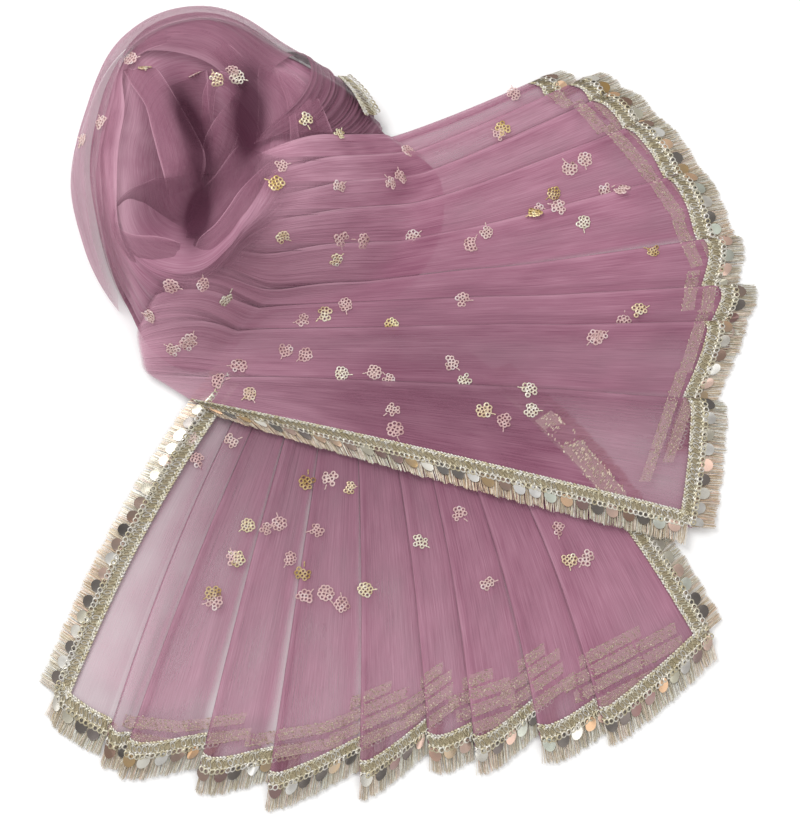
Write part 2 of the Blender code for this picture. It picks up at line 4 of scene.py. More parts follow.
import bpy
import numpy as np
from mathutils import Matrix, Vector
from mathutils.bvhtree import BVHTree
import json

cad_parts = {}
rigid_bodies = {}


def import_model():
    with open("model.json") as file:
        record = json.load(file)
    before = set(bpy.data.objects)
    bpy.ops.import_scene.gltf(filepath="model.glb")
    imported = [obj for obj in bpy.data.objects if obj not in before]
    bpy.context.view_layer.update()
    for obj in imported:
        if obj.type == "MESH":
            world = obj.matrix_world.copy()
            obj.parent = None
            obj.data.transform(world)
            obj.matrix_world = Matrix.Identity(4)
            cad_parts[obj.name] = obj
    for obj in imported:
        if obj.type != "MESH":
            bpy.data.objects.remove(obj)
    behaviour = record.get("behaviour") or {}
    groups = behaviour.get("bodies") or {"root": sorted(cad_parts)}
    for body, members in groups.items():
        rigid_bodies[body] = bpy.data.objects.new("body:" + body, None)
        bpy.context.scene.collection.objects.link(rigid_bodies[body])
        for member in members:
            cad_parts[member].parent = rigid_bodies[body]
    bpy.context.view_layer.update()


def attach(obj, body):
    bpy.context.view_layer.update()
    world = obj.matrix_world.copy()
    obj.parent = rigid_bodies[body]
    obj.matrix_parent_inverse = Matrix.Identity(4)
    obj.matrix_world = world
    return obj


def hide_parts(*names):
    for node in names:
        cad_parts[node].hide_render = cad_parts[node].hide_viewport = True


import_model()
for node in bpy.context.selected_objects:
    node.select_set(False)


# The camera
# It looks down on the heaped stole from the front edge of the table, a metre and a half away.
MM = 0.001
CAMERA_DISTANCE = 1.5
CAMERA_TILT = math.radians(16)          # from straight down
CAMERA_AIM = (-0.00465, -0.01153)

bpy.ops.object.camera_add(
    location=(CAMERA_AIM[0], CAMERA_AIM[1] - CAMERA_DISTANCE * math.sin(CAMERA_TILT),
              CAMERA_DISTANCE * math.cos(CAMERA_TILT)),
    rotation=(CAMERA_TILT, 0, 0))
camera = bpy.context.object
camera.data.sensor_fit = "HORIZONTAL"
camera.data.sensor_width = 36
camera.data.lens = 108.87
bpy.context.scene.camera = camera
bpy.context.scene.view_settings.view_transform = "Standard"
bpy.context.scene.cycles.transparent_max_bounces = 48


# The table and the studio light
# A white sheet-covered table under a bright, even sky of light, with one large soft lamp from the upper left.
class Signal:
    """A shader socket in a sum: signals and numbers add and multiply as Math nodes."""

    def __init__(self, tree, socket=None):
        self.tree, self.socket = tree, socket

    def node(self, kind, settings, inputs, output=0):
        """A new node. Its settings are set first, then the values or links of its sockets."""
        made = self.tree.nodes.new(kind)
        for key, value in settings.items():
            setattr(made, key, value)
        for key, value in inputs.items():
            if isinstance(value, Signal):
                self.tree.links.new(value.socket, made.inputs[key])
            else:
                made.inputs[key].default_value = value
        return Signal(self.tree, made.outputs[output])

    def sum(self, operation, *values):
        return self.node("ShaderNodeMath", {"operation": operation}, dict(enumerate(values)))

    def __add__(self, other):
        return self.sum("ADD", self, other)

    def __sub__(self, other):
        return self.sum("SUBTRACT", self, other)

    def __rsub__(self, other):
        return self.sum("SUBTRACT", other, self)

    def __mul__(self, other):
        return self.sum("MULTIPLY", self, other)

    def __pow__(self, other):
        return self.sum("POWER", self, other)

    __radd__, __rmul__ = __add__, __mul__


def finish_named(name, **constants):
    """A material, its Principled shader and a signal to build its nodes with."""
    material = bpy.data.materials.new(name)
    material.use_nodes = True
    shader = material.node_tree.nodes["Principled BSDF"]
    for key, value in constants.items():
        shader.inputs[key.replace("_", " ")].default_value = value
    return material, shader, Signal(material.node_tree)


def feed(signal, shader, socket):
    signal.tree.links.new(signal.socket, shader.inputs[socket])


def noise(signal, place, scale, detail=2.0):
    return signal.node("ShaderNodeTexNoise", {}, {"Vector": place, "Scale": scale, "Detail": detail})


def blend(signal, share, first, second):
    return signal.node("ShaderNodeMix", {"data_type": "RGBA"}, {0: share, 6: first, 7: second}, 2)


table_white, shader, build = finish_named("table_white", Roughness=0.9)
place = build.node("ShaderNodeTexCoord", {}, {}, 3)
feed(blend(build, noise(build, place, 3.0), (0.90, 0.90, 0.90, 1), (0.93, 0.93, 0.93, 1)), shader, "Base Color")
bpy.ops.mesh.primitive_plane_add(size=6, location=(0, 0, -0.0004))
table_top = bpy.context.object
table_top.name = "table_top"
bpy.ops.object.transform_apply()
table_top.data.materials.append(table_white)

bpy.context.scene.world = bpy.data.worlds.new("studio")
bpy.context.scene.world.use_nodes = True
sky = bpy.context.scene.world.node_tree.nodes["Background"]
sky.inputs["Color"].default_value = (1.0, 0.99, 0.98, 1)
sky.inputs["Strength"].default_value = 0.72
for stand, energy, size in (((-0.75, 0.75, 1.25), 16, 0.9), ((0.9, -0.5, 1.4), 5, 1.2)):
    bpy.ops.object.light_add(type="AREA", location=stand)
    lamp = bpy.context.object
    lamp.data.energy, lamp.data.size = energy, size
    lamp.rotation_euler = (-Vector(stand)).to_track_quat("-Z", "Y").to_euler()


# The soft net
# Fine mauve nylon net, so thin that the table shows through one layer and folds show as deeper bands.
# It is drawn in the cloth's own millimetres: u across its width and v along its length.
NET_DEEP = (0.325, 0.105, 0.183, 1)
NET_PALE = (0.59, 0.32, 0.415, 1)
# Painted shade: the colour the cloth is darkened towards in deep folds, in the hollow and where it lies under other
# cloth.
PAINTED_SHADE_COLOUR = (0.075, 0.016, 0.038, 1)   # what the deepest folds turn to
NET_COVER = 0.44                # how much of what lies under it one layer hides
ATTRIBUTE_LAYERS = 8.0          # layers that the red of the cloth attribute's full scale stands for


def cloth_finish(name, deep, pale, cover, crease_depth):
    material, shader, build = finish_named(name, Roughness=0.62, Specular_IOR_Level=0.3, Sheen_Weight=0.08,
                                           Sheen_Roughness=0.4)
    uv = build.node("ShaderNodeUVMap", {"uv_map": "cloth_mm"}, {})
    facts = build.node("ShaderNodeAttribute", {"attribute_name": "cloth"}, {})
    layers = build.node("ShaderNodeSeparateColor", {}, {0: facts}, 0) * ATTRIBUTE_LAYERS
    edge = build.node("ShaderNodeSeparateColor", {}, {0: facts}, 1)
    gather = build.node("ShaderNodeSeparateColor", {}, {0: facts}, 2)
    # The attribute's alpha is painted shade: it mixes the colour towards the painted shade colour.
    shade = build.node("ShaderNodeAttribute", {"attribute_name": "cloth"}, {}, 3)

    def along(across, down):
        """The cloth's place, squeezed so that noise runs in streaks down its length."""
        return build.node("ShaderNodeMapping", {}, {0: uv, 3: (across, down, 1.0)})

    streak = noise(build, along(0.9, 0.012), 1.0, 3.0)
    thread = noise(build, along(2.6, 0.05), 1.0, 1.0)
    cloud = noise(build, along(0.035, 0.022), 1.0, 2.0)
    pleat = noise(build, along(0.22, 0.006), 1.0, 2.0)
    ridge = build.sum("ABSOLUTE", pleat * 2.0 - 1.0)
    hides = (1.0 - cover) + (0.5 - streak) * 0.15 + (0.5 - thread) * 0.2 + (0.5 - cloud) * 0.32
    clear = build.sum("MAXIMUM", hides, 0.05) ** (layers * (1.0 + edge * 0.3))
    feed(build.sum("MINIMUM", 1.0 - clear, 1.0), shader, "Alpha")
    # Paler with random streaks, threads and clouds. The attribute's green adds a painted highlight along folded
    # edges, rims and cord crests, plus paler patches; it also thickens the cloth.
    light = (streak - 0.5) * 0.7 + (thread - 0.5) * 0.9 + (cloud - 0.5) * 0.8 + 0.24 + edge * 0.8
    light = build.sum("MINIMUM", build.sum("MAXIMUM", light, 0.0), 1.0)
    feed(blend(build, shade, blend(build, light, deep, pale), PAINTED_SHADE_COLOUR), shader, "Base Color")
    height = ridge * gather * crease_depth + streak * 0.10 + thread * 0.06
    bump = build.node("ShaderNodeBump", {}, {"Strength": 0.75, "Distance": MM, "Height": height})
    feed(bump, shader, "Normal")
    return material


net_finish = cloth_finish("soft_net", NET_DEEP, NET_PALE, NET_COVER, 1.1)


def weave(rows, columns):
    """The faces of a grid of points."""
    order = np.arange(rows * columns).reshape(rows, columns)
    return np.stack([order[:-1, :-1], order[1:, :-1], order[1:, 1:], order[:-1, 1:]], axis=-1).reshape(-1, 4)


def lay_sheet(name, grid, u, v, layers, edge, gather, finish, shade=0.0):
    """A sheet through a grid of points, each with its place on the cloth, what lies over and under it, its paleness
    and painted highlight, and its painted shade.
    """
    across, down = grid.shape[:2]
    given = (u, v, layers, edge, gather, shade)
    u, v, layers, edge, gather, shade = (np.broadcast_to(each, (across, down)) for each in given)
    faces = weave(across, down)
    mesh = bpy.data.meshes.new(name)
    mesh.from_pydata(to_metres(grid.reshape(-1, 3)).tolist(), [], faces.tolist())
    corners = faces.reshape(-1)
    uv = mesh.uv_layers.new(name="cloth_mm")
    uv.data.foreach_set("uv", np.stack([u.reshape(-1)[corners], v.reshape(-1)[corners]],
                                       axis=-1).reshape(-1).astype(np.float32))
    facts = mesh.color_attributes.new("cloth", "FLOAT_COLOR", "POINT")
    values = np.stack([layers / ATTRIBUTE_LAYERS, edge, gather, shade], axis=-1)
    facts.data.foreach_set("color", values.reshape(-1).astype(np.float32))
    mesh.shade_smooth()
    mesh.materials.append(finish)
    made = bpy.data.objects.new(name, mesh)
    bpy.context.collection.objects.link(made)
    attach(made, "root")
    return made


MIDDLE = (4.65, 11.53, 0.0)      # the middle of the outline, which is the origin


def to_metres(points):
    return (np.maximum(points, (-1e4, -1e4, 0.0)) - MIDDLE) * MM


# The folded heap
# The rest of the stole's length, folded over and over in a loop with a hollow in its middle. Only its
# outermost layers show, gathered in soft creases that run round the hollow, so it is one thick sheet.
HEAP_X, HEAP_Y = -122.0, 155.0
HOLLOW_FLOOR = 14.0
HEAP_SECTIONS = np.array((      # angle, foot, crest, height and fullness
    (0, 148, 44, 50, 0.0), (15, 118, 46, 45, 0.5), (30, 110, 52, 42, 0.9), (60, 98, 60, 42, 1.0),
    (90, 107, 74, 46, 1.0), (120, 98, 76, 48, 1.0), (150, 78, 58, 50, 1.0), (180, 72, 55, 50, 1.0),
    (210, 76, 60, 52, 1.0), (240, 98, 78, 54, 0.8), (255, 119, 80, 54, 0.4), (270, 127, 77, 54, 0.15),
    (285, 105, 66, 55, 0.0), (300, 100, 56, 56, 0.0), (330, 145, 46, 54, 0.0)))
ROUND_ANGLES = np.concatenate([HEAP_SECTIONS[-2:, 0] - 360, HEAP_SECTIONS[:, 0], HEAP_SECTIONS[:3, 0] + 360])
ROUND_VALUES = np.concatenate([HEAP_SECTIONS[-2:, 1:], HEAP_SECTIONS[:, 1:], HEAP_SECTIONS[:3, 1:]])
HEAP_DEEP = (0.26, 0.085, 0.15, 1)
HEAP_PALE = (0.52, 0.30, 0.38, 1)
TAIL_SECTOR = (242.0, 385.0)    # where the upper tail lies over it


def ease(x):
    x = np.clip(x, 0.0, 1.0)
    return x * x * (3.0 - 2.0 * x)


def unit(vectors):
    return vectors / np.linalg.norm(vectors, axis=-1, keepdims=True)


def heap_section(angle):
    """Foot, crest, height and fullness at angles in degrees, smooth all round."""
    angle = np.mod(angle, 360.0)
    k = np.searchsorted(ROUND_ANGLES, angle, side="right") - 1
    span = ROUND_ANGLES[k + 1] - ROUND_ANGLES[k]
    t = ((angle - ROUND_ANGLES[k]) / span)[..., None]
    a, b = ROUND_VALUES[k], ROUND_VALUES[k + 1]
    slope_a = (b - ROUND_VALUES[k - 1]) * (span / (ROUND_ANGLES[k + 1] - ROUND_ANGLES[k - 1]))[..., None]
    slope_b = (ROUND_VALUES[k + 2] - a) * (span / (ROUND_ANGLES[k + 2] - ROUND_ANGLES[k]))[..., None]
    rows = (a * (2 * t ** 3 - 3 * t * t + 1) + slope_a * (t ** 3 - 2 * t * t + t)
            + b * (3 * t * t - 2 * t ** 3) + slope_b * (t ** 3 - t * t))
    return np.moveaxis(rows, -1, 0)


def hollow_height(radius, crest, height):
    return HOLLOW_FLOOR + (height - HOLLOW_FLOOR) * (0.5 - 0.5 * np.cos(math.pi * np.minimum(radius / crest, 1.0)))


def heap_height(x, y):
    """Height of the heap's top over places on the table, 0 outside its foot."""
    dx, dy = np.asarray(x) - HEAP_X, np.asarray(y) - HEAP_Y
    radius = np.hypot(dx, dy)
    foot, crest, height, fullness = heap_section(np.degrees(np.arctan2(dy, dx)))
    s = np.clip((foot - radius) / (foot - crest), 0.0, 1.0)
    slope = 0.5 - 0.5 * np.cos(math.pi * s)
    dome = np.sqrt(1.0 - (1.0 - s) ** 2)
    outer = height * (slope + (dome - slope) * np.clip(fullness, 0.0, 1.0))
    return np.where(radius < crest, hollow_height(radius, crest, height), outer)


def heap_point(angle, w):
    """Points on the heap: w is 0 at the foot, 1 on the crest and 2 in the middle of the hollow."""
    foot, crest, height, fullness = heap_section(angle)
    fullness = np.clip(fullness, 0.0, 1.0)
    rise = np.clip(w, 0.0, 1.0)
    s = 1.0 - np.cos(0.5 * math.pi * rise)
    slope = 0.5 - 0.5 * np.cos(math.pi * s)
    outer = height * (slope + (np.sin(0.5 * math.pi * rise) - slope) * fullness)
    radius = np.where(w <= 1.0, foot - (foot - crest) * s, crest * (2.0 - w))
    z = np.where(w <= 1.0, outer, hollow_height(radius, crest, height))
    turn = np.radians(angle)
    return np.stack([HEAP_X + radius * np.cos(turn), HEAP_Y + radius * np.sin(turn), z], axis=-1)


def on_side(angle, w, lift):
    """Points lifted off the heap's skin, at angles and w."""
    angle, w, lift = (np.array(each, float) for each in np.broadcast_arrays(angle, np.maximum(w, 0.0), lift))
    along = heap_point(angle, w + 0.02) - heap_point(angle, np.maximum(w - 0.02, 0.0))
    around = heap_point(angle + 0.5, w) - heap_point(angle - 0.5, w)
    out = unit(np.cross(around, along))
    flat = np.clip(w / 0.04, 0.0, 1.0)
    out = unit(out * np.stack([np.ones_like(flat), np.ones_like(flat), flat], axis=-1))
    return heap_point(angle, w) + out * lift[..., None]


def heap_place(x, y):
    """Angle and w of places on the upper side of the heap."""
    dx, dy = x - HEAP_X, y - HEAP_Y
    angle, radius = np.degrees(np.arctan2(dy, dx)), np.hypot(dx, dy)
    foot, crest = heap_section(angle)[:2]
    s = np.clip((foot - radius) / (foot - crest), 0.0, 1.0)
    return angle, np.where(radius < crest, 2.0 - radius / crest, np.arccos(1.0 - s) / (0.5 * math.pi))


def ridges(place, run, waves):
    """Soft uneven ridges across a place that drift along the cloth's run: pitch, height, phase and drift."""
    total = 0.0
    for pitch, height, phase, drift in waves:
        swell = 0.65 + 0.35 * np.sin(0.61 * pitch * place + 1.7 * phase + 0.011 * run)
        total = total + height * swell * (0.5 + 0.5
                                          * np.sin(pitch * place + phase + drift * np.sin(run / 55.0 + phase))) ** 1.6
    return total


def spot(x, y, middle_x, middle_y, across, down):
    """1 in the middle of an oval place on the table, soft down to 0 around it."""
    return np.exp(-((x - middle_x) / across) ** 2 - ((y - middle_y) / down) ** 2)


def hollow_painted_shade(x, y):
    """How much painted shade the hollow gets at a place: three dark gaps between the petals, painted darker than the
    cloth round them.
    """
    gaps = spot(x, y, -94, 184, 11, 27) + 0.95 * spot(x + 0.35 * (y - 179), y, -131, 179, 9, 26) + 0.9 * spot(x, y,
        -126, 121, 8, 25)
    return np.clip(1.5 * gaps, 0.0, 1.0)


heap_finish = cloth_finish("layered_net", HEAP_DEEP, HEAP_PALE, 0.86, 1.2)
angle, w = np.meshgrid(np.linspace(0.0, 360.0, 241),
                       np.concatenate([np.linspace(0, 1, 36), np.linspace(1.02, 1.995, 30)]), indexing="ij")
into_sector = np.where(angle < TAIL_SECTOR[0] - 60, angle + 360, angle) - TAIL_SECTOR[0]
under_tail = ease(into_sector / 25.0) * ease((TAIL_SECTOR[1] - TAIL_SECTOR[0] - into_sector) / 25.0)
sunk = 0.5 + 4.0 * under_tail * np.minimum(1.0, 6 * w) * (1 - ease((w - 0.8) / 0.2))
around = np.radians(angle)
crease = ridges(w + 0.06 * np.sin(3 * around), 90 * np.sin(around),
                ((19, 1.4, 0.3, 0.6), (34, 1.0, 1.9, 0.9), (58, 0.6, 4.0, 1.2)))
crease *= np.minimum(1.0, 5 * w) * (1.5 - 1.25 * ease((w - 0.7) / 0.4))
covered = ease(into_sector / 30.0) * ease((TAIL_SECTOR[1] - TAIL_SECTOR[0] + 20 - into_sector) / 30.0)
inwards = 1.0 - np.cos(0.5 * math.pi * np.minimum(w, 1.0))
loose = ease((angle - 95.0) / 20.0) * ease((228.0 - angle) / 25.0)
solid = ease(inwards / 0.95) * covered + ease(0.3 + 0.7 * (1.0 - loose) + inwards / 0.2) * (1.0 - covered)
heap_grid = on_side(angle, w, -sunk - 2.6 + crease)
x, y = heap_grid[..., 0], heap_grid[..., 1]
# Painted shade in the hollow: its three dark gaps, a wide dark patch over the hollow and one under the cup. The heap
# is also paler in three spots and a little all over.
dark = hollow_painted_shade(x, y) + 0.3 * spot(x, y, -118, 150, 36, 50) + 0.4 * spot(x, y, -150, 114, 22, 24)
pale = 0.5 * spot(x, y, -174, 156, 16, 50) + 0.3 * spot(x, y, -67, 112, 30, 20) + 0.5 * spot(x, y, -180, 105, 18,
    34) + 0.15
net_heap = lay_sheet("net_heap", heap_grid, w * 95.0, angle * 1.6, -0.5 * np.log(1.0 - 0.9999 * solid), pale,
                     1.0 - 0.8 * ease((w - 0.9) / 0.3),
                     heap_finish, shade=np.clip(dark, 0.0, 1.0))
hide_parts("hidden_layers")

angle, w = np.meshgrid(np.linspace(0.0, 360.0, 121), np.linspace(0.0, 0.99, 12), indexing="ij")
foot = heap_section(angle)[0]
base_grid = np.stack([HEAP_X + foot * (1 - w) * np.cos(np.radians(angle)),
                      HEAP_Y + foot * (1 - w) * np.sin(np.radians(angle)),
                      0.2 + 0.3 * w], axis=-1)[:, ::-1]
net_heap_base = lay_sheet("net_heap_base", base_grid, angle, w * 100, 1.0, 0.0, 0.0, heap_finish)


# The lower tail
# One end of the stole, laid flat and fanned out in ten knife pleats. Each pleat runs from its fold to the
# notch where the next one covers it, and on by its tuck, so that its hem shows again through the cloth.
Pleat = namedtuple("Pleat", "neck_x neck_y fold_x fold_y notch_x notch_y tuck")
Tail = namedtuple("Tail", "pleats end bow folded_under surface crowding")
LOWER_PLEATS = tuple(Pleat(*row) for row in (
    (-92, 48, -208, -176, -178, -197, 4), (-79, 48, -176, -205, -167, -206, 24),
    (-67, 48, -165, -213, -123, -207, 22),
    (-54, 48, -120, -222, -85, -216, 26), (-41, 48, -79, -233, -30, -211, 24), (-29, 48, -24, -227, 15, -198, 18),
    (-16, 48, 17, -210, 42, -201, 20), (-3, 48, 45, -212, 77, -189, 22), (9, 48, 84, -205, 117, -187, 24),
    (22, 48, 122, -195, 188, -139, 0)))
LOWER_FOCUS = (-42.0, 144.0)     # where its fold lines meet
LOWER_RIDGES = ((21, 2.6, 0.4, 0.7), (37, 1.7, 2.2, 1.1), (63, 0.9, 5.0, 1.4), (104, 0.5, 1.1, 1.8))
LAYER_PITCH = 1.6                # between two folded layers
SHEET_REST = 0.5                 # the lowest layer above what it lies on
FOLD_RADIUS = 0.9
UNDER_FOLD = 5.0
TUCK_REACH = 1.5                 # the real tucks run on this much further than the solids'
NECK_TUCK = 0.06
UNDER_SHARE = 0.04               # how much of a layer the tucks count for, as they are drawn out thin
BRAID_WIDTH = 9.5
NECK_MELT = 31                   # how many columns flow into one another at a tail's neck
LOWER_WEIGHTS = (0.48, 0.66, 0.84, 0.96, 1.0, 1.06, 1.16, 1.3, 1.4,
                 1.45)   # of the ten pleats, as layers lie under them


def lower_surface(x, y):
    turn = np.arctan2(x - LOWER_FOCUS[0], LOWER_FOCUS[1] - y)
    reach = np.hypot(x - LOWER_FOCUS[0], y - LOWER_FOCUS[1])
    full = 0.16 + 0.84 * (1.0 - ease((reach - 110.0) / 235.0))
    return full * ridges(turn, reach, LOWER_RIDGES)


def on_top(x, y, lift, surface):
    """Points lifted off a height function along its normal."""
    step = 1.5
    slope_x = (surface(x + step, y) - surface(x - step, y)) / (2 * step)
    slope_y = (surface(x, y + step) - surface(x, y - step)) / (2 * step)
    out = unit(np.stack([-slope_x, -slope_y, np.ones_like(slope_x)], axis=-1))
    return np.stack([x, y, surface(x, y)], axis=-1) + out * np.asarray(lift)[..., None]


def pleat_width(tail, i):
    pleat = tail.pleats[i]
    return math.dist(pleat[2:4], pleat[4:6])


def pleat_tuck(tail, i):
    if i < 0 or i + 1 >= len(tail.pleats):
        return 0.0
    return min(TUCK_REACH * tail.pleats[i].tuck, 0.8 * pleat_width(tail, i + 1))


def pleat_lines(tail, i, v):
    """Fold, notch and tuck of pleat i in plan, with v 0 at the neck and 1 at the hem."""
    pleat, count = tail.pleats[i], len(tail.pleats)
    after = tail.pleats[i + 1][:2] if i + 1 < count else tail.end
    v = np.asarray(v, float)

    def line(neck, hem, share):
        neck, hem = np.array(neck, float), np.array(hem, float)
        run = unit(hem - neck)
        side = np.array([-run[1], run[0]]) * (1 if run[1] < 0 else -1)
        bow = tail.bow[0] + (tail.bow[1] - tail.bow[0]) * share
        return neck + (hem - neck) * v[..., None] + side * (bow * np.sin(math.pi * np.minimum(v, 1.0)))[..., None]

    fold, notch = line(pleat[:2], pleat[2:4], i / count), line(after, pleat[4:6], (i + 1) / count)
    tuck = notch + unit(notch - fold) * (pleat_tuck(tail, i) * (NECK_TUCK + (1 - NECK_TUCK) * v))[..., None]
    return fold, notch, tuck


def pleat_spans(tail, i, v):
    """Along pleat i: how far it stays high over the last tuck, where it is down again, and its reach."""
    fold, notch, tuck = pleat_lines(tail, i, v)
    down = np.linalg.norm(notch - fold, axis=-1)
    reach = np.linalg.norm(tuck - fold, axis=-1)
    if i:
        high, top = pleat_tuck(tail, i - 1) * (NECK_TUCK + (1 - NECK_TUCK) * v) + 1.5, 2.0
    else:
        high, top = (UNDER_FOLD + 1.0, 1.0) if tail.folded_under else (0.0, 0.0)
    if i + 1 == len(tail.pleats):
        down = down * 0.6
    return np.minimum(high, down - 3.0), down, reach, top


def layer_pitch(v):
    """Folded layers lie closer together where the cloth is gathered."""
    return LAYER_PITCH * (0.12 + 0.63 * ease((v - 0.2) / 0.65))


def panel(tail, i, distance, v, level=None, lift=0.0):
    """Points of pleat i's upper side, at distances from its fold."""
    distance, v = (np.array(each, float) for each in np.broadcast_arrays(distance, v))
    fold, notch, _ = pleat_lines(tail, i, v)
    if level is None:
        high, down, _, top = pleat_spans(tail, i, v)
        level = top * (1.0 - ease((distance - high) / (down - high)))
    place = fold + unit(notch - fold) * distance[..., None]
    return on_top(place[..., 0], place[..., 1], SHEET_REST + level * layer_pitch(v) + lift, tail.surface)


def hem_v(tail, i, distance):
    """How far down pleat i its hem lies: drawn up at the fold's corner and full in its middle."""
    pleat = tail.pleats[i]
    length = math.dist(pleat[:2], pleat[2:4])
    width = pleat_width(tail, i)
    corner = 3.4 * (1.0 - np.clip(distance / 9.0, 0.0, 1.0)) ** 2
    full = 1.8 * np.sin(math.pi * np.clip(distance / width, 0.0, 1.0))
    return 1.0 + (full - corner) / length


def tail_sheet(tail, rows, gather_from, thick, thin, weights, pale, solid_from, tucked, melt):
    """The grid of a tail's cloth, folded to and fro from its first edge to its last, and its facts."""
    v = np.linspace(0.0, 1.0, rows) ** tail.crowding
    columns, edges, u, worths, whole, starts, at = [], [], [], [], [], [], 0.0

    def add(points, edge, step, worth=1.0):
        nonlocal at
        at += step
        worths.append(worth * weights[i])
        whole.append(weights[i])
        starts.append(solid_from[i])
        columns.append(points)
        edges.append(edge)
        u.append(at)

    for i in range(len(tail.pleats)):
        high, down, reach, top = pleat_spans(tail, i, v)
        width = pleat_width(tail, i)
        # The edge values given to add paint a highlight along each fold.
        if i or tail.folded_under:
            if not i:
                add(panel(tail, i, UNDER_FOLD, v, top - 1), 0.0, 0.0)
            add(panel(tail, i, FOLD_RADIUS, v, top - 1), 0.7, 2.0)
            add(panel(tail, i, 0.0, v * hem_v(tail, i, 0.0), top - 0.5), 1.0, 1.4)
            add(panel(tail, i, FOLD_RADIUS, v * hem_v(tail, i, FOLD_RADIUS), top), 1.0, 1.4)
        else:
            add(panel(tail, i, 0.0, v * hem_v(tail, i, 0.0)), 0.0, 0.0)
        flat = down / 0.6 if i + 1 == len(tail.pleats) else down
        shares = np.linspace(0.0, 1.0, max(12, int(width / 2.0)))[1:]
        for share in shares:
            distance = FOLD_RADIUS + (flat - FOLD_RADIUS) * share
            add(panel(tail, i, distance, v * hem_v(tail, i, width * share)), 0.55 if width * share < 2.5 else 0.0,
                width / len(shares), 1.0 + 0.3 * share ** 3)
        if i + 1 < len(tail.pleats):
            for share in (0.2, 0.4, 0.6, 0.8, 1.0):
                worth = 1.0 if pleat_tuck(tail, i) < 8.0 else tucked * (1.0 - share) ** 1.5 + UNDER_SHARE
                add(panel(tail, i, flat + (reach - FOLD_RADIUS - flat) * share, v, 0.0), 0.0, pleat_tuck(tail, i) / 5,
                    worth)
            add(panel(tail, i, reach, v, 0.5), 0.0, 1.4, UNDER_SHARE)
            back = panel(tail, i, reach - FOLD_RADIUS, v, 1.0)
            add(back, 0.0, 1.4, UNDER_SHARE)
            ahead = panel(tail, i + 1, FOLD_RADIUS, v, 1.0)
            for share in (0.2, 0.4, 0.6, 0.8):
                place = back + (ahead - back) * share
                add(on_top(place[:, 0], place[:, 1], SHEET_REST + layer_pitch(v), tail.surface), 0.0,
                    pleat_tuck(tail, i) / 5, UNDER_SHARE)
    gather = 1.0 - ease((v - gather_from) / (1.0 - gather_from))
    worths, whole = np.array(worths)[:, None], np.array(whole)[:, None]
    layers = (worths + (whole - worths) * (1.0 - ease(v / melt))) * (thin + (thick - thin) * (1.0 - v) ** 1.6)
    layers = layers * (1.0 - 0.12 * ease((v - 0.84) / 0.1)) * (0.06 + 0.94 * ease(v / np.array(starts)[:, None]))
    length = math.dist(tail.pleats[4][:2], tail.pleats[4][2:4])
    # A painted highlight along each fold, fading out at the neck, and paler cloth towards the neck by pale.
    edges = 0.4 * np.array(edges)[:, None] * ease(v / 0.12) + pale * (1.0 - ease((v - 0.1) / 0.35))
    grid = np.array(columns)
    around = np.cumsum(np.pad(grid, ((NECK_MELT // 2 + 1, NECK_MELT // 2), (0, 0), (0, 0)), mode="edge"), axis=0)
    melted = (around[NECK_MELT:] - around[:-NECK_MELT]) / NECK_MELT
    grid = grid + (melted - grid) * (1.0 - ease(v / melt))[None, :, None]
    return grid, np.array(u)[:, None], v * length, layers, edges, gather


LOWER_TAIL = Tail(LOWER_PLEATS, (36, 48), (-9.0, 14.0), False, lower_surface, 1.0)
down = np.linspace(0, 1, 80)
# Painted shadow darkens it towards its neck, where it is gathered under the upper tail. A darker band near the hem is
# the fringe of the pleats beneath, seen through the cloth.
cloth_lower_tail = lay_sheet("cloth_lower_tail",
                             *tail_sheet(LOWER_TAIL, 80, 0.15, 3.6, 1.6, LOWER_WEIGHTS, 0.0,
                                         [0.12] * 7 + [0.2, 0.3, 0.34], 0.45, 0.16), net_finish,
                           shade=0.8 * (1.0 - down) ** 1.4 + 0.24 * ease((down - 0.87) / 0.05))
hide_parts("net_lower_tail")


# The upper tail
# The other end, laid back over the heap and the lower tail, with nine pleats that lie to the right. Its
# first edge is folded under, and long soft ridges run through it from the turn to the hem.
UPPER_PLEATS = tuple(Pleat(*row) for row in (
    (-96, 158, 93, 227, 101, 219, 12), (-88, 141, 119, 226, 131, 212, 12), (-83, 124, 134, 215, 153, 193, 14),
    (-90, 107, 155, 195, 178, 160, 16), (-103, 90, 181, 160, 196, 122, 16), (-121, 75, 204, 117, 200, 87, 12),
    (-145, 68, 212, 85, 205, 62, 16), (-165, 54, 203, 61, 186, 15, 24), (-160, 27, 190, 10, 178, -73, 0)))
UPPER_FOCUS = (-420.0, 40.0)
UPPER_WEIGHTS = (0.75, 0.85, 1.0, 1.2, 1.35, 1.45, 1.45, 1.25, 0.85)
UPPER_RIDGES = ((31, 0.9, 0.9, 0.8), (67, 0.6, 3.1, 1.0), (133, 0.35, 0.2, 1.3), (241, 0.25, 2.0, 1.6))
LOWER_STACK, STACK_RAMP = 4.6, 45.0
HEAP_LIFT = 3.2
LOCK_LENGTH = 15.0


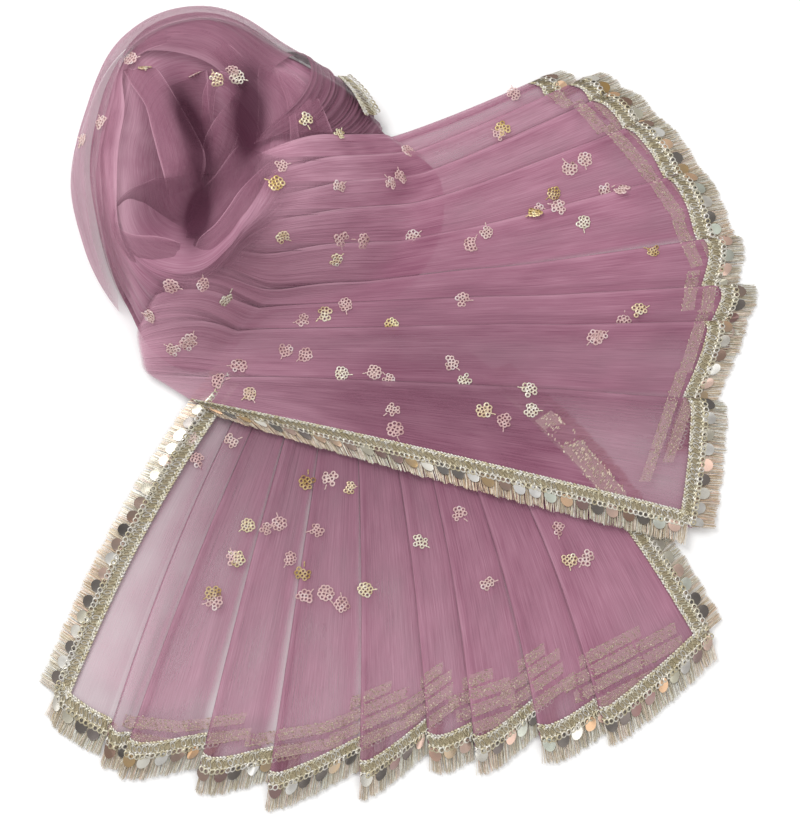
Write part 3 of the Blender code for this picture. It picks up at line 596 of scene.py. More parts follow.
def under_upper_tail(x, y):
    """What the upper tail lies on: the lower tail, the heap or the table, under its own soft ridges."""
    edge = np.array(LOWER_PLEATS[-1][4:6], float) - LOWER_TAIL.end
    across = unit(np.array([-edge[1], edge[0]]))
    beyond = (x - LOWER_TAIL.end[0]) * across[0] + (y - LOWER_TAIL.end[1]) * across[1] - LOCK_LENGTH - 5.0
    stack = LOWER_STACK * (1.0 - ease(beyond / STACK_RAMP))
    heap = heap_height(x, y)
    heap = heap + HEAP_LIFT * ease(heap / 14.0)
    over = 0.5 * (stack + heap + np.sqrt((stack - heap) ** 2 + 6.0 * ease(heap / 6.0)) - math.sqrt(6.0)
                  * ease(heap / 6.0)) + 0.6 * ease(heap / 6.0)
    turn = np.arctan2(y - UPPER_FOCUS[1], x - UPPER_FOCUS[0])
    reach = np.hypot(x - UPPER_FOCUS[0], y - UPPER_FOCUS[1])
    full = 0.2 + 0.8 * (1.0 - ease((reach - 400.0) / 210.0))
    return np.where(heap > 0.0, over, stack) + full * ridges(turn, reach, UPPER_RIDGES)


UPPER_TAIL = Tail(UPPER_PLEATS, (-124, 4), (6.0, 0.0), True, under_upper_tail, 1.2)
upper_facts = tail_sheet(UPPER_TAIL, 104, 0.1, 2.3, 2.1, UPPER_WEIGHTS, 0.6, [0.12] * 6 + [0.01] * 3, 0.65, 0.26)
# Painted shade darkens the middle of the upper tail. A darker band near the hem is the trim beneath, seen through the
# cloth.
cloth_upper_tail = lay_sheet("cloth_upper_tail", *upper_facts, net_finish,
                             shade=0.46 * spot(upper_facts[0][..., 0], upper_facts[0][..., 1], 20, 28, 150, 82)
                             + 0.16 * ease((np.linspace(0, 1, 104) - 0.86) / 0.06))
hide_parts("net_upper_tail")


# The turn
# The gathered length where the stole doubles back: it comes up out of the lower tail as a shoulder of fine
# pleats, runs left along the top and down the left side, and a loose single layer stands off it outside.
TURN_TOP = ((55, 0.0, 1.14, 0, 0), (70, 0.0, 1.19, 0, 0), (88, 0.0, 1.16, 0, 4), (108, 0.0, 1.08, 0, 3),
            (127, 0.0, 0.92, 0, 0))
TURN_LEFT = ((128, 0.0, 0.80, 0, 1), (145, 0.0, 1.00, 0, 3), (170, 0.0, 1.05, 0, 3), (205, 0.0, 1.02, 0, 2),
             (240, 0.0, 0.90, 0, 0))
VEIL = ((44, 0.0, 0.30, 2.5, 2.5), (58, 0.0, 0.46, 3, 4), (76, 0.0, 0.62, 4, 5), (104, 0.0, 0.80, 8, 6),
        (124, 0.0, 0.85, 9, 5), (150, 0.0, 0.88, 12, 5),
        (182, 0.0, 0.85, 15, 5), (215, 0.0, 0.80, 12, 5), (240, 0.0, 0.60, 5, 5))
SKIN_LIFT = 0.9
SHOULDER_ANGLES = (62.0, 19.0)
SHOULDER_ENDS = ((-92, 163), (-14, 182))
SHOULDER_WAVES = 17


def through(rows, s):
    """Points at s, from 0 to 1, of a smooth curve through table rows."""
    rows, s = np.asarray(rows, float), np.asarray(s, float)
    place = np.clip(s, 0.0, 1.0) * (len(rows) - 1)
    k = np.minimum(place.astype(int), len(rows) - 2)
    t = (place - k)[..., None]
    a, b = rows[k], rows[k + 1]
    before, after = rows[np.maximum(k - 1, 0)], rows[np.minimum(k + 2, len(rows) - 1)]
    return 0.5 * (2 * a + (b - before) * t + (2 * before - 5 * a + 4 * b - after) * t * t
                  + (3 * a - before - 3 * b + after) * t ** 3)


def stretch(name, stations, depth, waves, layers, painted_shade=0.0, columns=110, rows=46):
    """A stretch of cloth round the heap, creased along its run."""
    a, b = np.meshgrid(np.linspace(0, 1, columns), np.linspace(0, 1, rows), indexing="ij")
    angle, outer, inner, lift_outer, lift_inner = np.moveaxis(through(stations, a), -1, 0)
    fade = np.minimum(1.0, np.minimum(5 * a, 5 * (1 - a))) * np.sin(math.pi * b) ** 0.6
    fold = depth * fade * ease(a / 0.3) * ridges(b, 160.0 * a, waves)
    w = outer + (inner - outer) * b
    grid = on_side(angle, w, SKIN_LIFT + lift_outer + (lift_inner - lift_outer) * b + fold)
    # Painted shade: the stretch's own, and the hollow's dark gaps, where the cloth is thinned so the heap's painted
    # shade shows. A painted highlight runs along its inner rim.
    deep = hollow_painted_shade(grid[..., 0], grid[..., 1])
    ends = ease((a + 0.3 * (1.0 - b)) / 0.2) * ease((1.0 - a + 0.1 * (1.0 - b)) / 0.2)
    made = lay_sheet("cloth_" + name, grid, b * 120.0, angle * 1.7, layers(a, b) * ends * (1.0 - deep),
                     0.25 + 0.9 * ease((b - 0.94) / 0.06), 0.6, net_finish, shade=np.clip(painted_shade + deep, 0.0, 1.0))
    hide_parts("net_" + name)
    return made


turn_waves = ((17, 1.3, 0.5, 0.9), (29, 1.0, 2.6, 1.1), (47, 0.7, 4.4, 1.4), (83, 0.4, 1.2, 1.6))
# The turn's top is darkened by painted shade.
cloth_turn_top = stretch("turn_top", TURN_TOP, 1.0, turn_waves, lambda a, b: 0.5 + 1.2 * ease(b / 0.4), 0.36)
cloth_turn_left = stretch("turn_left", TURN_LEFT, 1.0, turn_waves, lambda a, b: 0.3 + 0.9 * ease(b / 0.4))
veil_waves = ((11, 0.9, 1.5, 1.4), (23, 0.6, 0.1, 1.7), (41, 0.4, 3.3, 2.0))
cloth_veil = stretch("veil", VEIL, 0.8, veil_waves,
                     lambda a, b: (1.7 - 1.3 * ease((b - 0.3) / 0.7)) * ease(a / 0.06))

a, b = np.meshgrid(np.linspace(0, 1, 150), np.linspace(0, 1, 50), indexing="ij")
foot_angle = SHOULDER_ANGLES[0] + (SHOULDER_ANGLES[1] - SHOULDER_ANGLES[0]) * a
end = [SHOULDER_ENDS[0][n] + (SHOULDER_ENDS[1][n] - SHOULDER_ENDS[0][n]) * a for n in (0, 1)]
end_angle, end_w = heap_place(*end)
drift = 0.6 * np.sin(9 * a) + 0.3 * np.sin(23 * a) + 0.08 * np.sin(5 * b + 11 * a)
cord = (0.5 - 0.5 * np.cos(2 * math.pi * (SHOULDER_WAVES * a + drift))) ** 0.8
flat_ends = np.sin(math.pi * np.clip(b, 0.02, 0.98)) ** 0.6
wave = (0.9 * cord + ridges(a, 60 * b, ((31, 1.4, 0.4, 0.5), (71, 0.7, 2.0, 0.7)))) * flat_ends
over_top = 2.4 * ease(1.0 - a / 0.5) * (1.0 - ease((b - 0.6) / 0.4))
shoulder_grid = on_side(foot_angle + (end_angle - foot_angle) * b, end_w * b, SKIN_LIFT + over_top + wave)
# A painted highlight along the crests of its cords, painted shade all over, and thinner cloth over the hollow's
# painted shade.
cloth_shoulder = lay_sheet("cloth_turn_shoulder", shoulder_grid, a * 260.0, b * 110.0,
                           2.0 * (1.0 - 0.95 * hollow_painted_shade(shoulder_grid[..., 0], shoulder_grid[..., 1])),
                           0.2 + 0.5 * ease((cord - 0.8) / 0.2), 1.0, net_finish, shade=0.6)
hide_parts("net_turn_shoulder")


# The rose in the hollow
# Where the folds of the turn roll inwards they stand as petals round a dark middle: a band, a cup with its
# lip, two folds beside it and a small loop like a bud. Each runs between two edges and ends under the next.
PETALS = {       # left x, y, z, right x, y, z and bulge
    "rose_facet": ((-144, 206, 40, -123, 216, 42, 0), (-141, 199, 38, -122, 206, 42, -2),
                   (-134, 189, 36, -121, 194, 40, -3), (-126, 176, 35, -119, 181, 38, -2),
                   (-121, 165, 35, -117, 168, 36, 0)),
    "rose_band": ((-175, 219, 44, -157, 218, 46, 1), (-167, 202, 48, -147, 201, 52, 2),
                  (-157, 186, 50, -137, 183, 54, 3), (-152, 169, 50, -128, 166, 54, 3),
                  (-148, 155, 49, -123, 155, 52, 3), (-145, 144, 48, -122, 146, 48, 2),
                  (-142, 132, 44, -125, 138, 38, 0)),
    "rose_cup": ((-144, 140, 50, -130, 143, 50, 1), (-153, 135, 51, -129, 135, 50, -3),
                 (-162, 130, 51, -129, 127, 47, -7), (-169, 123, 51, -130, 118, 42, -10),
                 (-173, 114, 51, -132, 108, 37, -12), (-173, 104, 51, -134, 99, 33, -10),
                 (-170, 96, 48, -134, 92, 30, -4)),
    "rose_lip": ((-174, 113, 52, -176, 114, 49, 0), (-172, 104, 53, -174, 101, 49, 1),
                 (-167, 100, 53, -170, 92, 49, 2), (-159, 98, 52, -162, 83, 48, 3), (-150, 98, 50, -151, 78, 46, 4),
                 (-140, 97, 46, -139, 75, 45, 4), (-131, 94, 43, -125, 75, 44, 3), (-125, 89, 40, -114, 79, 43, 1)),
    "rose_fold_inner": ((-95, 161, 50, -70, 152, 49, 0), (-101, 154, 53, -77, 149, 52, -1),
                        (-112, 138, 53, -89, 138, 53, -3), (-122, 127, 51, -98, 127, 53, -5),
                        (-127, 116, 47, -104, 117, 53, -5), (-130, 104, 42, -112, 106, 52, -4),
                        (-131, 96, 39, -124, 97, 49, -1), (-130, 91, 37, -127, 90, 45, 0)),
    "rose_fold_outer": ((-69, 153, 49, -64, 145, 45, 1), (-77, 149, 52, -74, 143, 49, 1),
                        (-89, 138, 53, -82, 137, 50, 1), (-98, 127, 53, -85, 125, 49, 2),
                        (-104, 117, 53, -92, 110, 48, 2), (-112, 106, 52, -100, 98, 47, 2),
                        (-122, 97, 49, -109, 84, 45, 2), (-126, 87, 45, -116, 77, 42, 1)),
    "rose_bud": ((-124, 127, 32, -122, 130, 28, 0), (-123, 139, 40, -116, 143, 35, 1),
                 (-121, 151, 45, -108, 155, 40, 2), (-120, 162, 49, -103, 164, 43, 3),
                 (-116, 171, 52, -101, 173, 45, 4), (-111, 179, 54, -102, 183, 47, 3),
                 (-105, 187, 55, -100, 191, 50, 1), (-102, 195, 53, -98, 199, 49, 0)),
    "rose_loop": ((-124, 175, 40, -117, 171, 40, 1), (-123, 185, 45, -117, 181, 44, 2),
                  (-122, 194, 50, -116, 190, 48, 2), (-119, 201, 53, -115, 195, 50, 2),
                  (-114, 205, 55, -113, 198, 51, 2), (-109, 205, 56, -109, 198, 52, 2),
                  (-103, 200, 56, -106, 195, 52, 2), (-100, 194, 54, -105, 189, 51, 1),
                  (-100, 188, 50, -106, 185, 48, 0)),
    "rose_curtain": ((-88, 218, 47, -81, 219, 48, 0), (-88, 206, 48, -75, 207, 49, 1),
                     (-87, 194, 48, -70, 195, 49, 1), (-87, 179, 48, -66, 178, 49, 1),
                     (-88, 162, 47, -64, 161, 48, 0)),
    "rose_curtain_far": ((-79, 218, 47, -71, 217, 47, 0), (-75, 206, 48, -62, 207, 48, 1),
                         (-70, 193, 48, -53, 196, 48, 1), (-67, 177, 48, -46, 180, 48, 1),
                         (-66, 162, 47, -41, 166, 47, 0)),
    "rose_brow": ((-172, 228, 46, -170, 218, 45, 0), (-156, 236, 49, -155, 225, 47, 1),
                  (-139, 240, 50, -139, 229, 48, 1), (-122, 237, 51, -126, 225, 49, 1),
                  (-106, 226, 52, -115, 215, 49, 1), (-92, 213, 52, -102, 205, 49, 0)),
}
frame_nodes = {o.name for o in bpy.data.objects}
# how much painted shade darkens each petal's cloth, where it isn't 0.3
PETAL_PAINTED_SHADE = {"rose_band": 0.18, "rose_curtain": 0.25, "rose_curtain_far": 0.15, "rose_brow": 0.15, "rose_lip": 0.4,
              "rose_fold_inner": 0.75, "rose_cup": 0.75, "rose_bud": 0.4, "rose_facet": 0.5}
for name, rows in PETALS.items():
    a, b = np.meshgrid(np.linspace(0, 1, 64), np.linspace(0, 1, 26), indexing="ij")
    left_x, left_y, left_z, right_x, right_y, right_z, bulge = np.moveaxis(through(rows, a), -1, 0)
    z = left_z + (right_z - left_z) * b + bulge * np.sin(math.pi * b)
    z = z + ridges(b, 60 * a, ((13, 0.8, 0.4, 0.6), (26, 0.5, 2.1, 0.9))) * np.sin(math.pi * b)
    wide = -0.08 + 1.16 * b
    x, y = left_x + (right_x - left_x) * wide, left_y + (right_y - left_y) * wide
    lying = name in ("rose_curtain", "rose_curtain_far", "rose_brow")
    if lying:
        z = z - left_z - (right_z - left_z) * b + heap_height(x, y) + 3.4
    fading = 0.24 if lying else 0.12
    ends = 1.0 - ease(a / fading) + 1.0 - ease((1.0 - a) / fading)
    grid = np.stack([x, y, z - (3.0 if lying else 7.0) * ends], axis=-1)
    # Each petal's rolled rim is thicker and carries a painted highlight with less painted shade. Over the hollow's
    # painted shade the cloth is thinner and darker. The lip is paler all over.
    rim_with_painted_highlight = np.maximum(np.clip(1 - b / 0.05, 0, 1), 0.0 if name == "rose_cup" else np.clip(1 - (1 - b) / 0.05, 0, 1))
    rim_with_painted_highlight = rim_with_painted_highlight * (0.85 if lying else 1.0)
    deep = hollow_painted_shade(x, y)
    thinner = (1.0 - 0.75 * deep) * (1.0 - (name == "rose_cup") * ease((b - 0.6) / 0.4))
    petal = lay_sheet("cloth_" + name, grid, b * 50.0, a * 70.0,
                      (0.95 + 0.5 * rim_with_painted_highlight) * (1.0 - np.clip(ends, 0, 1)) * thinner,
                      (0.3 if name == "rose_lip" else 0.1) + 1.1 * rim_with_painted_highlight, 0.4, net_finish,
                      shade=np.clip(PETAL_PAINTED_SHADE.get(name, 0.3) - 0.3 * rim_with_painted_highlight + 0.7 * deep, 0.0, 1.0))
    if "net_" + name in frame_nodes:
        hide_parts("net_" + name)


# The trim
# A crocheted braid of gilt thread is sewn along every edge: a plaited stitch on the cloth side, a row of slanted
# open loops, and a picot edge. Sequins hang from the picots on a close fringe of metallic yarn.
Ribbon = namedtuple("Ribbon", "s inner outer normal surface")
CHAIN_PITCH, LOOP_PITCH, PICOT_PITCH = 2.1, 3.3, 3.2
GHOST_PITCH = 0.24               # between the stitches that shine through the cloth
SEQUIN_RADIUS, SEQUIN_PITCH = 3.9, 9.8
THREAD_PITCH = 0.27
HEM_THREADS, SIDE_THREADS = 15.0, 13.0
GILT_DARK = (0.24, 0.19, 0.11, 1)


def ribbon(inner, outer, surface):
    """The strip that a trim follows, from its edges' points."""
    s = np.concatenate([[0.0], np.cumsum(np.linalg.norm(np.diff(outer, axis=0), axis=1))])
    normal = unit(np.cross(np.gradient(outer, axis=0), outer - inner))
    normal *= np.sign(normal[:, 2:3])
    return Ribbon(s, inner, outer, normal, surface)


def on_ribbon(strip, s, across, height):
    """Points at lengths along a trim, across it from its inner edge, and above it.

    Past its outer edge they drop to what lies under it.
    """
    def at(values):
        return np.stack([np.interp(s, strip.s, values[:, n]) for n in range(3)], axis=-1)
    inner, outer, normal = at(strip.inner), at(strip.outer), at(strip.normal)
    out = unit((outer - inner) * (1, 1, 0.3))
    past_s = np.maximum(s - strip.s[-1], 0) + np.minimum(s, 0)
    along = unit(np.cross(out, normal)) * -1
    share = np.clip(across / BRAID_WIDTH, -0.2, 1.0)[..., None]
    beyond = np.maximum(across - BRAID_WIDTH, 0.0)
    points = inner + (outer - inner) * share + out * beyond[..., None] * (1, 1, 0) + along * past_s[..., None]
    floor = strip.surface(points[..., 0], points[..., 1]) + 0.5
    drop = ease(beyond / 11.0)
    points[..., 2] += (floor - points[..., 2]) * drop
    return points + normal * np.asarray(height)[..., None]


def hem_ribbon(tail, i):
    end = pleat_width(tail, i)
    if i + 1 < len(tail.pleats):
        end += 0.5 * pleat_width(tail, i + 1)
    distance = np.arange(0.6, end, 1.2)
    length = math.dist(tail.pleats[i][:2], tail.pleats[i][2:4])
    v = hem_v(tail, i, distance)
    return ribbon(panel(tail, i, distance, v - BRAID_WIDTH / length, lift=0.35),
                  panel(tail, i, distance, v, lift=0.35), tail.surface)


def lifted(inner, outer, faces, surface):
    """A strip on the upper side of the cloth that lies over two edges, as far as there is any."""
    found = np.ones(len(inner), bool)
    for points in (inner, outer):
        for n, (x, y) in enumerate(to_metres(points)[:, :2]):
            hit = faces.ray_cast(Vector((x, y, 0.2)), Vector((0, 0, -1)))[0]
            found[n] &= hit is not None
            points[n, 2] = hit.z / MM if hit else 0.0
    return ribbon(inner[found], outer[found], surface) if found.sum() > 4 else None


def seen_through(tail, i, faces, rise, start, end):
    """The strip of cloth over pleat i's covered hem, where its lace shines through, rise up from it."""
    width, length = pleat_width(tail, i), math.dist(tail.pleats[i][:2], tail.pleats[i][2:4])
    distance = np.arange(width + start, width + end * pleat_width(tail, i + 1), 1.5)
    sides = [panel(tail, i, distance, np.full(len(distance), 1.0 - (rise + inset) / length),
                   0.0) for inset in (0.9 * BRAID_WIDTH, 0.0)]
    return lifted(*sides, faces, tail.surface)


def side_ribbon(tail, i, from_v, to_v):
    v = np.linspace(from_v, to_v, 160)
    fold, notch, _ = pleat_lines(tail, i, v)
    width = np.linalg.norm(notch - fold, axis=-1)
    at_edge, at_braid = (0.4, BRAID_WIDTH) if i == 0 else (width - 0.4, width - BRAID_WIDTH)
    return ribbon(panel(tail, i, at_braid, v, 0.0, 0.35), panel(tail, i, at_edge, v, 0.0, 0.35), tail.surface)


def taken(name):
    """The vertices and faces of the object just modelled, which is then put away."""
    bpy.ops.object.mode_set(mode="OBJECT")
    made = bpy.context.object
    bpy.ops.object.transform_apply()
    verts = np.array([v.co[:] for v in made.data.vertices])
    faces = [tuple(f.vertices) for f in made.data.polygons]
    bpy.data.meshes.remove(made.data)
    return verts, faces


def join_copies(name, batches, finish):
    """One piece of many copies: each batch is its copies' points, the pattern's faces and a colour for each copy."""
    points, faces, tints, start = [], [], [], 0
    for copies, pattern, colours in batches:
        count, size = copies.shape[:2]
        points.append(copies.reshape(-1, 3))
        for k in range(count):
            faces.extend(tuple(start + k * size + n for n in face) for face in pattern)
        tints.append(np.repeat(colours, size, axis=0))
        start += count * size
    mesh = bpy.data.meshes.new(name)
    mesh.from_pydata(to_metres(np.concatenate(points)).tolist(), [], faces)
    tint = mesh.color_attributes.new("tint", "FLOAT_COLOR", "POINT")
    colours = np.concatenate(tints)
    tint.data.foreach_set("color", np.concatenate([colours, np.ones((len(colours), 1))],
                                                  axis=1).reshape(-1).astype(np.float32))
    mesh.shade_smooth()
    mesh.set_sharp_from_angle(angle=math.radians(50))
    mesh.materials.append(finish)
    made = bpy.data.objects.new(name, mesh)
    bpy.context.collection.objects.link(made)
    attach(made, "root")
    return made


def placed(strip, pattern, s, across, height, turn=0.0, size=1.0):
    """Copies of a pattern along a trim, bent to follow it."""
    s, across, height, turn, size = (np.broadcast_to(np.asarray(each, float), np.shape(s))[:, None]
                                     for each in (s, across, height, turn, size))
    x, y, z = pattern[None, :, 0] * size, pattern[None, :, 1] * size, pattern[None, :, 2] * size
    cos, sin = np.cos(turn), np.sin(turn)
    return on_ribbon(strip, s + x * cos - y * sin, across + x * sin + y * cos, height + z)


def tape(strip, s, across, height):
    """A plain woven strip along a trim: its points and faces."""
    points = on_ribbon(strip, s.reshape(-1), across.reshape(-1), np.full(s.size, height))
    return points[None], weave(*s.shape).tolist()


def tinted_finish(name, dark, roughness, metallic, grain, **constants):
    material, shader, build = finish_named(name, Metallic=metallic, **constants)
    tint = build.node("ShaderNodeAttribute", {"attribute_name": "tint"}, {})
    place = build.node("ShaderNodeTexCoord", {}, {}, 3)
    mottle = noise(build, place, grain, 3.0)
    feed(blend(build, mottle * 1.2 - 0.1, dark, tint), shader, "Base Color")
    feed(mottle * 0.25 + roughness, shader, "Roughness")
    bump = build.node("ShaderNodeBump", {},
                      {"Strength": 0.35, "Distance": 0.0003, "Height": noise(build, place, grain * 2.2, 1.0)})
    feed(bump, shader, "Normal")
    return material


gilt_thread = tinted_finish("gilt_thread", GILT_DARK, 0.30, 0.5, 900.0)
metallic_yarn = tinted_finish("metallic_yarn", (0.44, 0.36, 0.26, 1), 0.34, 0.5, 500.0)
sprig_gilt = tinted_finish("sprig_gilt", (0.42, 0.30, 0.14, 1), 0.25, 0.3, 900.0)
covered_gilt = tinted_finish("covered_gilt", (0.72, 0.48, 0.47, 1), 0.4, 0.15, 900.0, Alpha=0.62)
covered_lace = tinted_finish("covered_lace", (0.50, 0.30, 0.32, 1), 0.5, 0.2, 900.0, Alpha=0.38)
sequin_foil = tinted_finish("sequin_foil", (0.25, 0.22, 0.2, 1), 0.12, 0.85, 60.0)

bpy.ops.mesh.primitive_uv_sphere_add(segments=6, ring_count=4, radius=1.0, rotation=(0, math.pi / 2, 0))
bpy.ops.object.mode_set(mode="EDIT")
bpy.ops.transform.resize(value=(1.6, 0.72, 0.6))
stitch, stitch_faces = taken("stitch")

bpy.ops.mesh.primitive_uv_sphere_add(segments=4, ring_count=3, radius=1.0, rotation=(0, math.pi / 2, 0))
bpy.ops.object.mode_set(mode="EDIT")
bpy.ops.transform.resize(value=(1.1, 0.5, 0.4))
bead, bead_faces = taken("bead")

bpy.ops.mesh.primitive_torus_add(major_segments=10, minor_segments=4, major_radius=1.0, minor_radius=0.27)
bpy.ops.object.mode_set(mode="EDIT")
bpy.ops.transform.resize(value=(1.05, 2.7, 1.4))
slanted_loop, slanted_loop_faces = taken("slanted_loop")

bpy.ops.mesh.primitive_torus_add(major_segments=8, minor_segments=3, major_radius=1.45, minor_radius=0.5)
picot, picot_faces = taken("picot")

bpy.ops.mesh.primitive_cylinder_add(vertices=16, radius=SEQUIN_RADIUS, depth=0.3)
bpy.ops.object.mode_set(mode="EDIT")
bpy.ops.mesh.select_all(action="DESELECT")
bpy.ops.mesh.select_mode(type="FACE")
bpy.ops.object.mode_set(mode="OBJECT")
for face in bpy.context.object.data.polygons:
    face.select = abs(face.normal.z) > 0.5
bpy.ops.object.mode_set(mode="EDIT")
bpy.ops.mesh.inset(thickness=0.5, use_individual=True)
bpy.ops.transform.resize(value=(1, 1, 0.6))
bpy.ops.mesh.inset(thickness=2.7, use_individual=True)
bpy.ops.transform.translate(value=(0, -2.4, 0))
bpy.ops.mesh.bridge_edge_loops()
sequin, sequin_faces = taken("sequin")

bpy.ops.mesh.primitive_cylinder_add(vertices=3, radius=1.0, depth=1.0, end_fill_type="NOTHING",
                                    rotation=(-math.pi / 2, 0, 0), location=(0, 0.5, 0))
bpy.ops.object.mode_set(mode="EDIT")
bpy.ops.mesh.select_all(action="DESELECT")
bpy.ops.object.mode_set(mode="OBJECT")
for line in bpy.context.object.data.edges:
    a, b = (bpy.context.object.data.vertices[n].co for n in line.vertices)
    line.select = abs(a.z - b.z) > 0.5
bpy.ops.object.mode_set(mode="EDIT")
bpy.ops.mesh.select_mode(type="EDGE")
bpy.ops.mesh.subdivide_edgering(number_cuts=3, interpolation="LINEAR")
yarn, yarn_faces = taken("yarn")

SEQUIN_TINTS = np.array(((0.97, 0.97, 0.93), (0.78, 0.85, 0.74), (0.97, 0.95, 0.86), (0.05, 0.03, 0.03),
                         (0.52, 0.34, 0.14), (0.90, 0.60, 0.48), (0.30, 0.17, 0.12), (0.04, 0.04, 0.04),
                         (0.66, 0.64, 0.50), (0.22, 0.08, 0.08), (0.82, 0.50, 0.27)))
YARN_TINTS = np.array(((0.94, 0.89, 0.77), (0.58, 0.47, 0.30), (0.33, 0.26, 0.17), (0.80, 0.58, 0.49),
                       (0.50, 0.43, 0.31), (1.0, 0.97, 0.90)))
TAPE_TINT = np.array(((0.40, 0.34, 0.23),))
GILT_TINTS = np.array(((0.96, 0.93, 0.77), (1.0, 0.98, 0.90), (0.76, 0.70, 0.50), (1.0, 1.0, 0.97)))
GHOST_TINTS = np.array(((0.82, 0.64, 0.58), (0.70, 0.50, 0.49), (0.88, 0.74, 0.64), (0.60, 0.40, 0.41)))
GLOW_TINT = np.array(((0.66, 0.47, 0.46),))


def trimmed(name, strips, nodes, seed, threads_long, ghosts=()):
    """The braid, sequins and fringe along some ribbons, in place of the CAD trims."""
    chance = np.random.RandomState(seed)
    braid, discs, threads, ghost_lace, glow = [], [], [], [], []

    def tints(palette, count, spread=0.05):
        chosen = palette[chance.randint(len(palette), size=count)]
        return np.clip(chosen + chance.normal(0, spread, (count, 1)), 0.02, 1.0)

    for strip in strips:
        length = strip.s[-1]
        s, across = np.meshgrid(np.arange(0.0, length, 2.0), (0.3, 3.4, 6.5, 9.4), indexing="ij")
        braid.append((*tape(strip, s, across, 0.1), TAPE_TINT))
        s = np.arange(0.8, length, CHAIN_PITCH)
        for across, turn in ((0.75, 0.5), (1.85, -0.5), (8.0, 0.45)):
            braid.append((placed(strip, stitch, s + chance.normal(0, 0.12, len(s)), across, 0.55,
                                 turn + chance.normal(0, 0.1, len(s))),
                          stitch_faces, tints(GILT_TINTS, len(s))))
        s = np.arange(1.2, length - 0.5, LOOP_PITCH)
        braid.append((placed(strip, slanted_loop, s + chance.normal(0, 0.15, len(s)), 4.9, 0.5,
                             -0.55 + chance.normal(0, 0.1, len(s))),
                      slanted_loop_faces, tints(GILT_TINTS, len(s))))
        s = np.arange(1.4, length - 0.5, PICOT_PITCH)
        braid.append((placed(strip, picot, s + chance.normal(0, 0.2, len(s)), 9.5, 1.7, 0.0), picot_faces,
                      tints(GILT_TINTS, len(s))))
        if threads_long:
            s = np.arange(4.0, length - 1.0, SEQUIN_PITCH) + chance.uniform(-0.8, 0.8)
            discs.append((placed(strip, sequin, s + chance.normal(0, 0.5, len(s)),
                                 12.2 + chance.normal(0, 0.4, len(s)), 1.5, chance.normal(0, 0.2, len(s))),
                          sequin_faces, tints(SEQUIN_TINTS, len(s))))
            s = np.arange(0.2, length, THREAD_PITCH)
            s = s + chance.normal(0, 0.15, len(s))
            count = len(s)
            bunch = np.sin(s * 0.9 + chance.uniform(0, 6)) * 0.5 + np.sin(s * 0.37 + 2.0) * 0.5
            long = threads_long * (0.94 + 0.06 * chance.uniform(-1, 1, count)) + 0.8 * bunch
            lean = chance.normal(0, 0.05, count) - 0.06 * bunch
            t = np.clip(yarn[None, :, 1], 0.0, 1.0)
            along = s[:, None] + (lean * long)[:, None] * t ** 1.3 + yarn[None, :, 0] * 0.17
            across = 8.6 + long[:, None] * t
            height = 0.15 + chance.uniform(0, 0.9, count)[:, None] * (0.4 + t * (1 - t) * 2) + yarn[None, :, 2] * 0.17
            drift = np.sin(s / 24.0 + seed)[:, None] * (0.08, 0.0, -0.03)
            threads.append((on_ribbon(strip, along, across, height), yarn_faces,
                            np.clip(tints(YARN_TINTS, count) + drift, 0.02, 1.0)))
    for strip in ghosts:
        s = np.arange(0.5, strip.s[-1] - 0.5, GHOST_PITCH)
        s = s[chance.uniform(size=len(s)) < 1.15 - 0.8 * (s / strip.s[-1]) ** 2]
        rows = np.array((0.8, 3.4, 4.8, 6.2, 8.2))[chance.randint(5, size=len(s))] + chance.normal(0, 0.4, len(s))
        slant = np.where(np.abs(rows - 4.8) < 2.2, 1.1, 0.4) + chance.normal(0, 0.25, len(s))
        ghost_lace.append((placed(strip, bead, s, rows, 0.12, slant, chance.uniform(0.5, 0.9, len(s))), bead_faces,
                           tints(GHOST_TINTS, len(s))))
        s, across = np.meshgrid(np.linspace(0.0, strip.s[-1], 24), (0.4, 3.4, 6.4, 8.4), indexing="ij")
        glow.append((*tape(strip, s, across, 0.06), GLOW_TINT))
    made = join_copies("braid_" + name, braid, gilt_thread)
    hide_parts(*nodes)
    if ghost_lace:
        join_copies("lace_under_" + name, ghost_lace, gilt_thread)
        join_copies("lace_glow_" + name, glow, covered_lace)
    if threads_long:
        join_copies("sequins_" + name, discs, sequin_foil)
        join_copies("fringe_" + name, threads, metallic_yarn)
    return made


DEEPER_ROWS = ((20.5, -0.45, 0.72), (29.5, -0.1, 0.45))   # how far in, start and end as shares of the pleats


def lace_below(tail, cloth, deeper=(), crossing=()):
    """Two rows of covered lace over each pleat but the first, deeper ones over some, and those of crossing edges."""
    faces = BVHTree.FromObject(cloth, bpy.context.evaluated_depsgraph_get())
    count = len(tail.pleats) - 1
    rows = [seen_through(tail, i, faces, 0.0, 1.0, 0.95 if i + 1 < count else 0.6) for i in range(count)]
    rows += [seen_through(tail, i, faces, 11.0, -0.3 * pleat_width(tail, i), 0.75) for i in range(1, count)]
    rows += [seen_through(tail, i, faces, rise, start * pleat_width(tail, i), end)
             for rise, start, end in DEEPER_ROWS for i in deeper]
    rows += [lifted(edge.inner, edge.outer + 0.6 * (edge.outer - edge.inner), faces, tail.surface)
             for edge in crossing]
    return [row for row in rows if row]


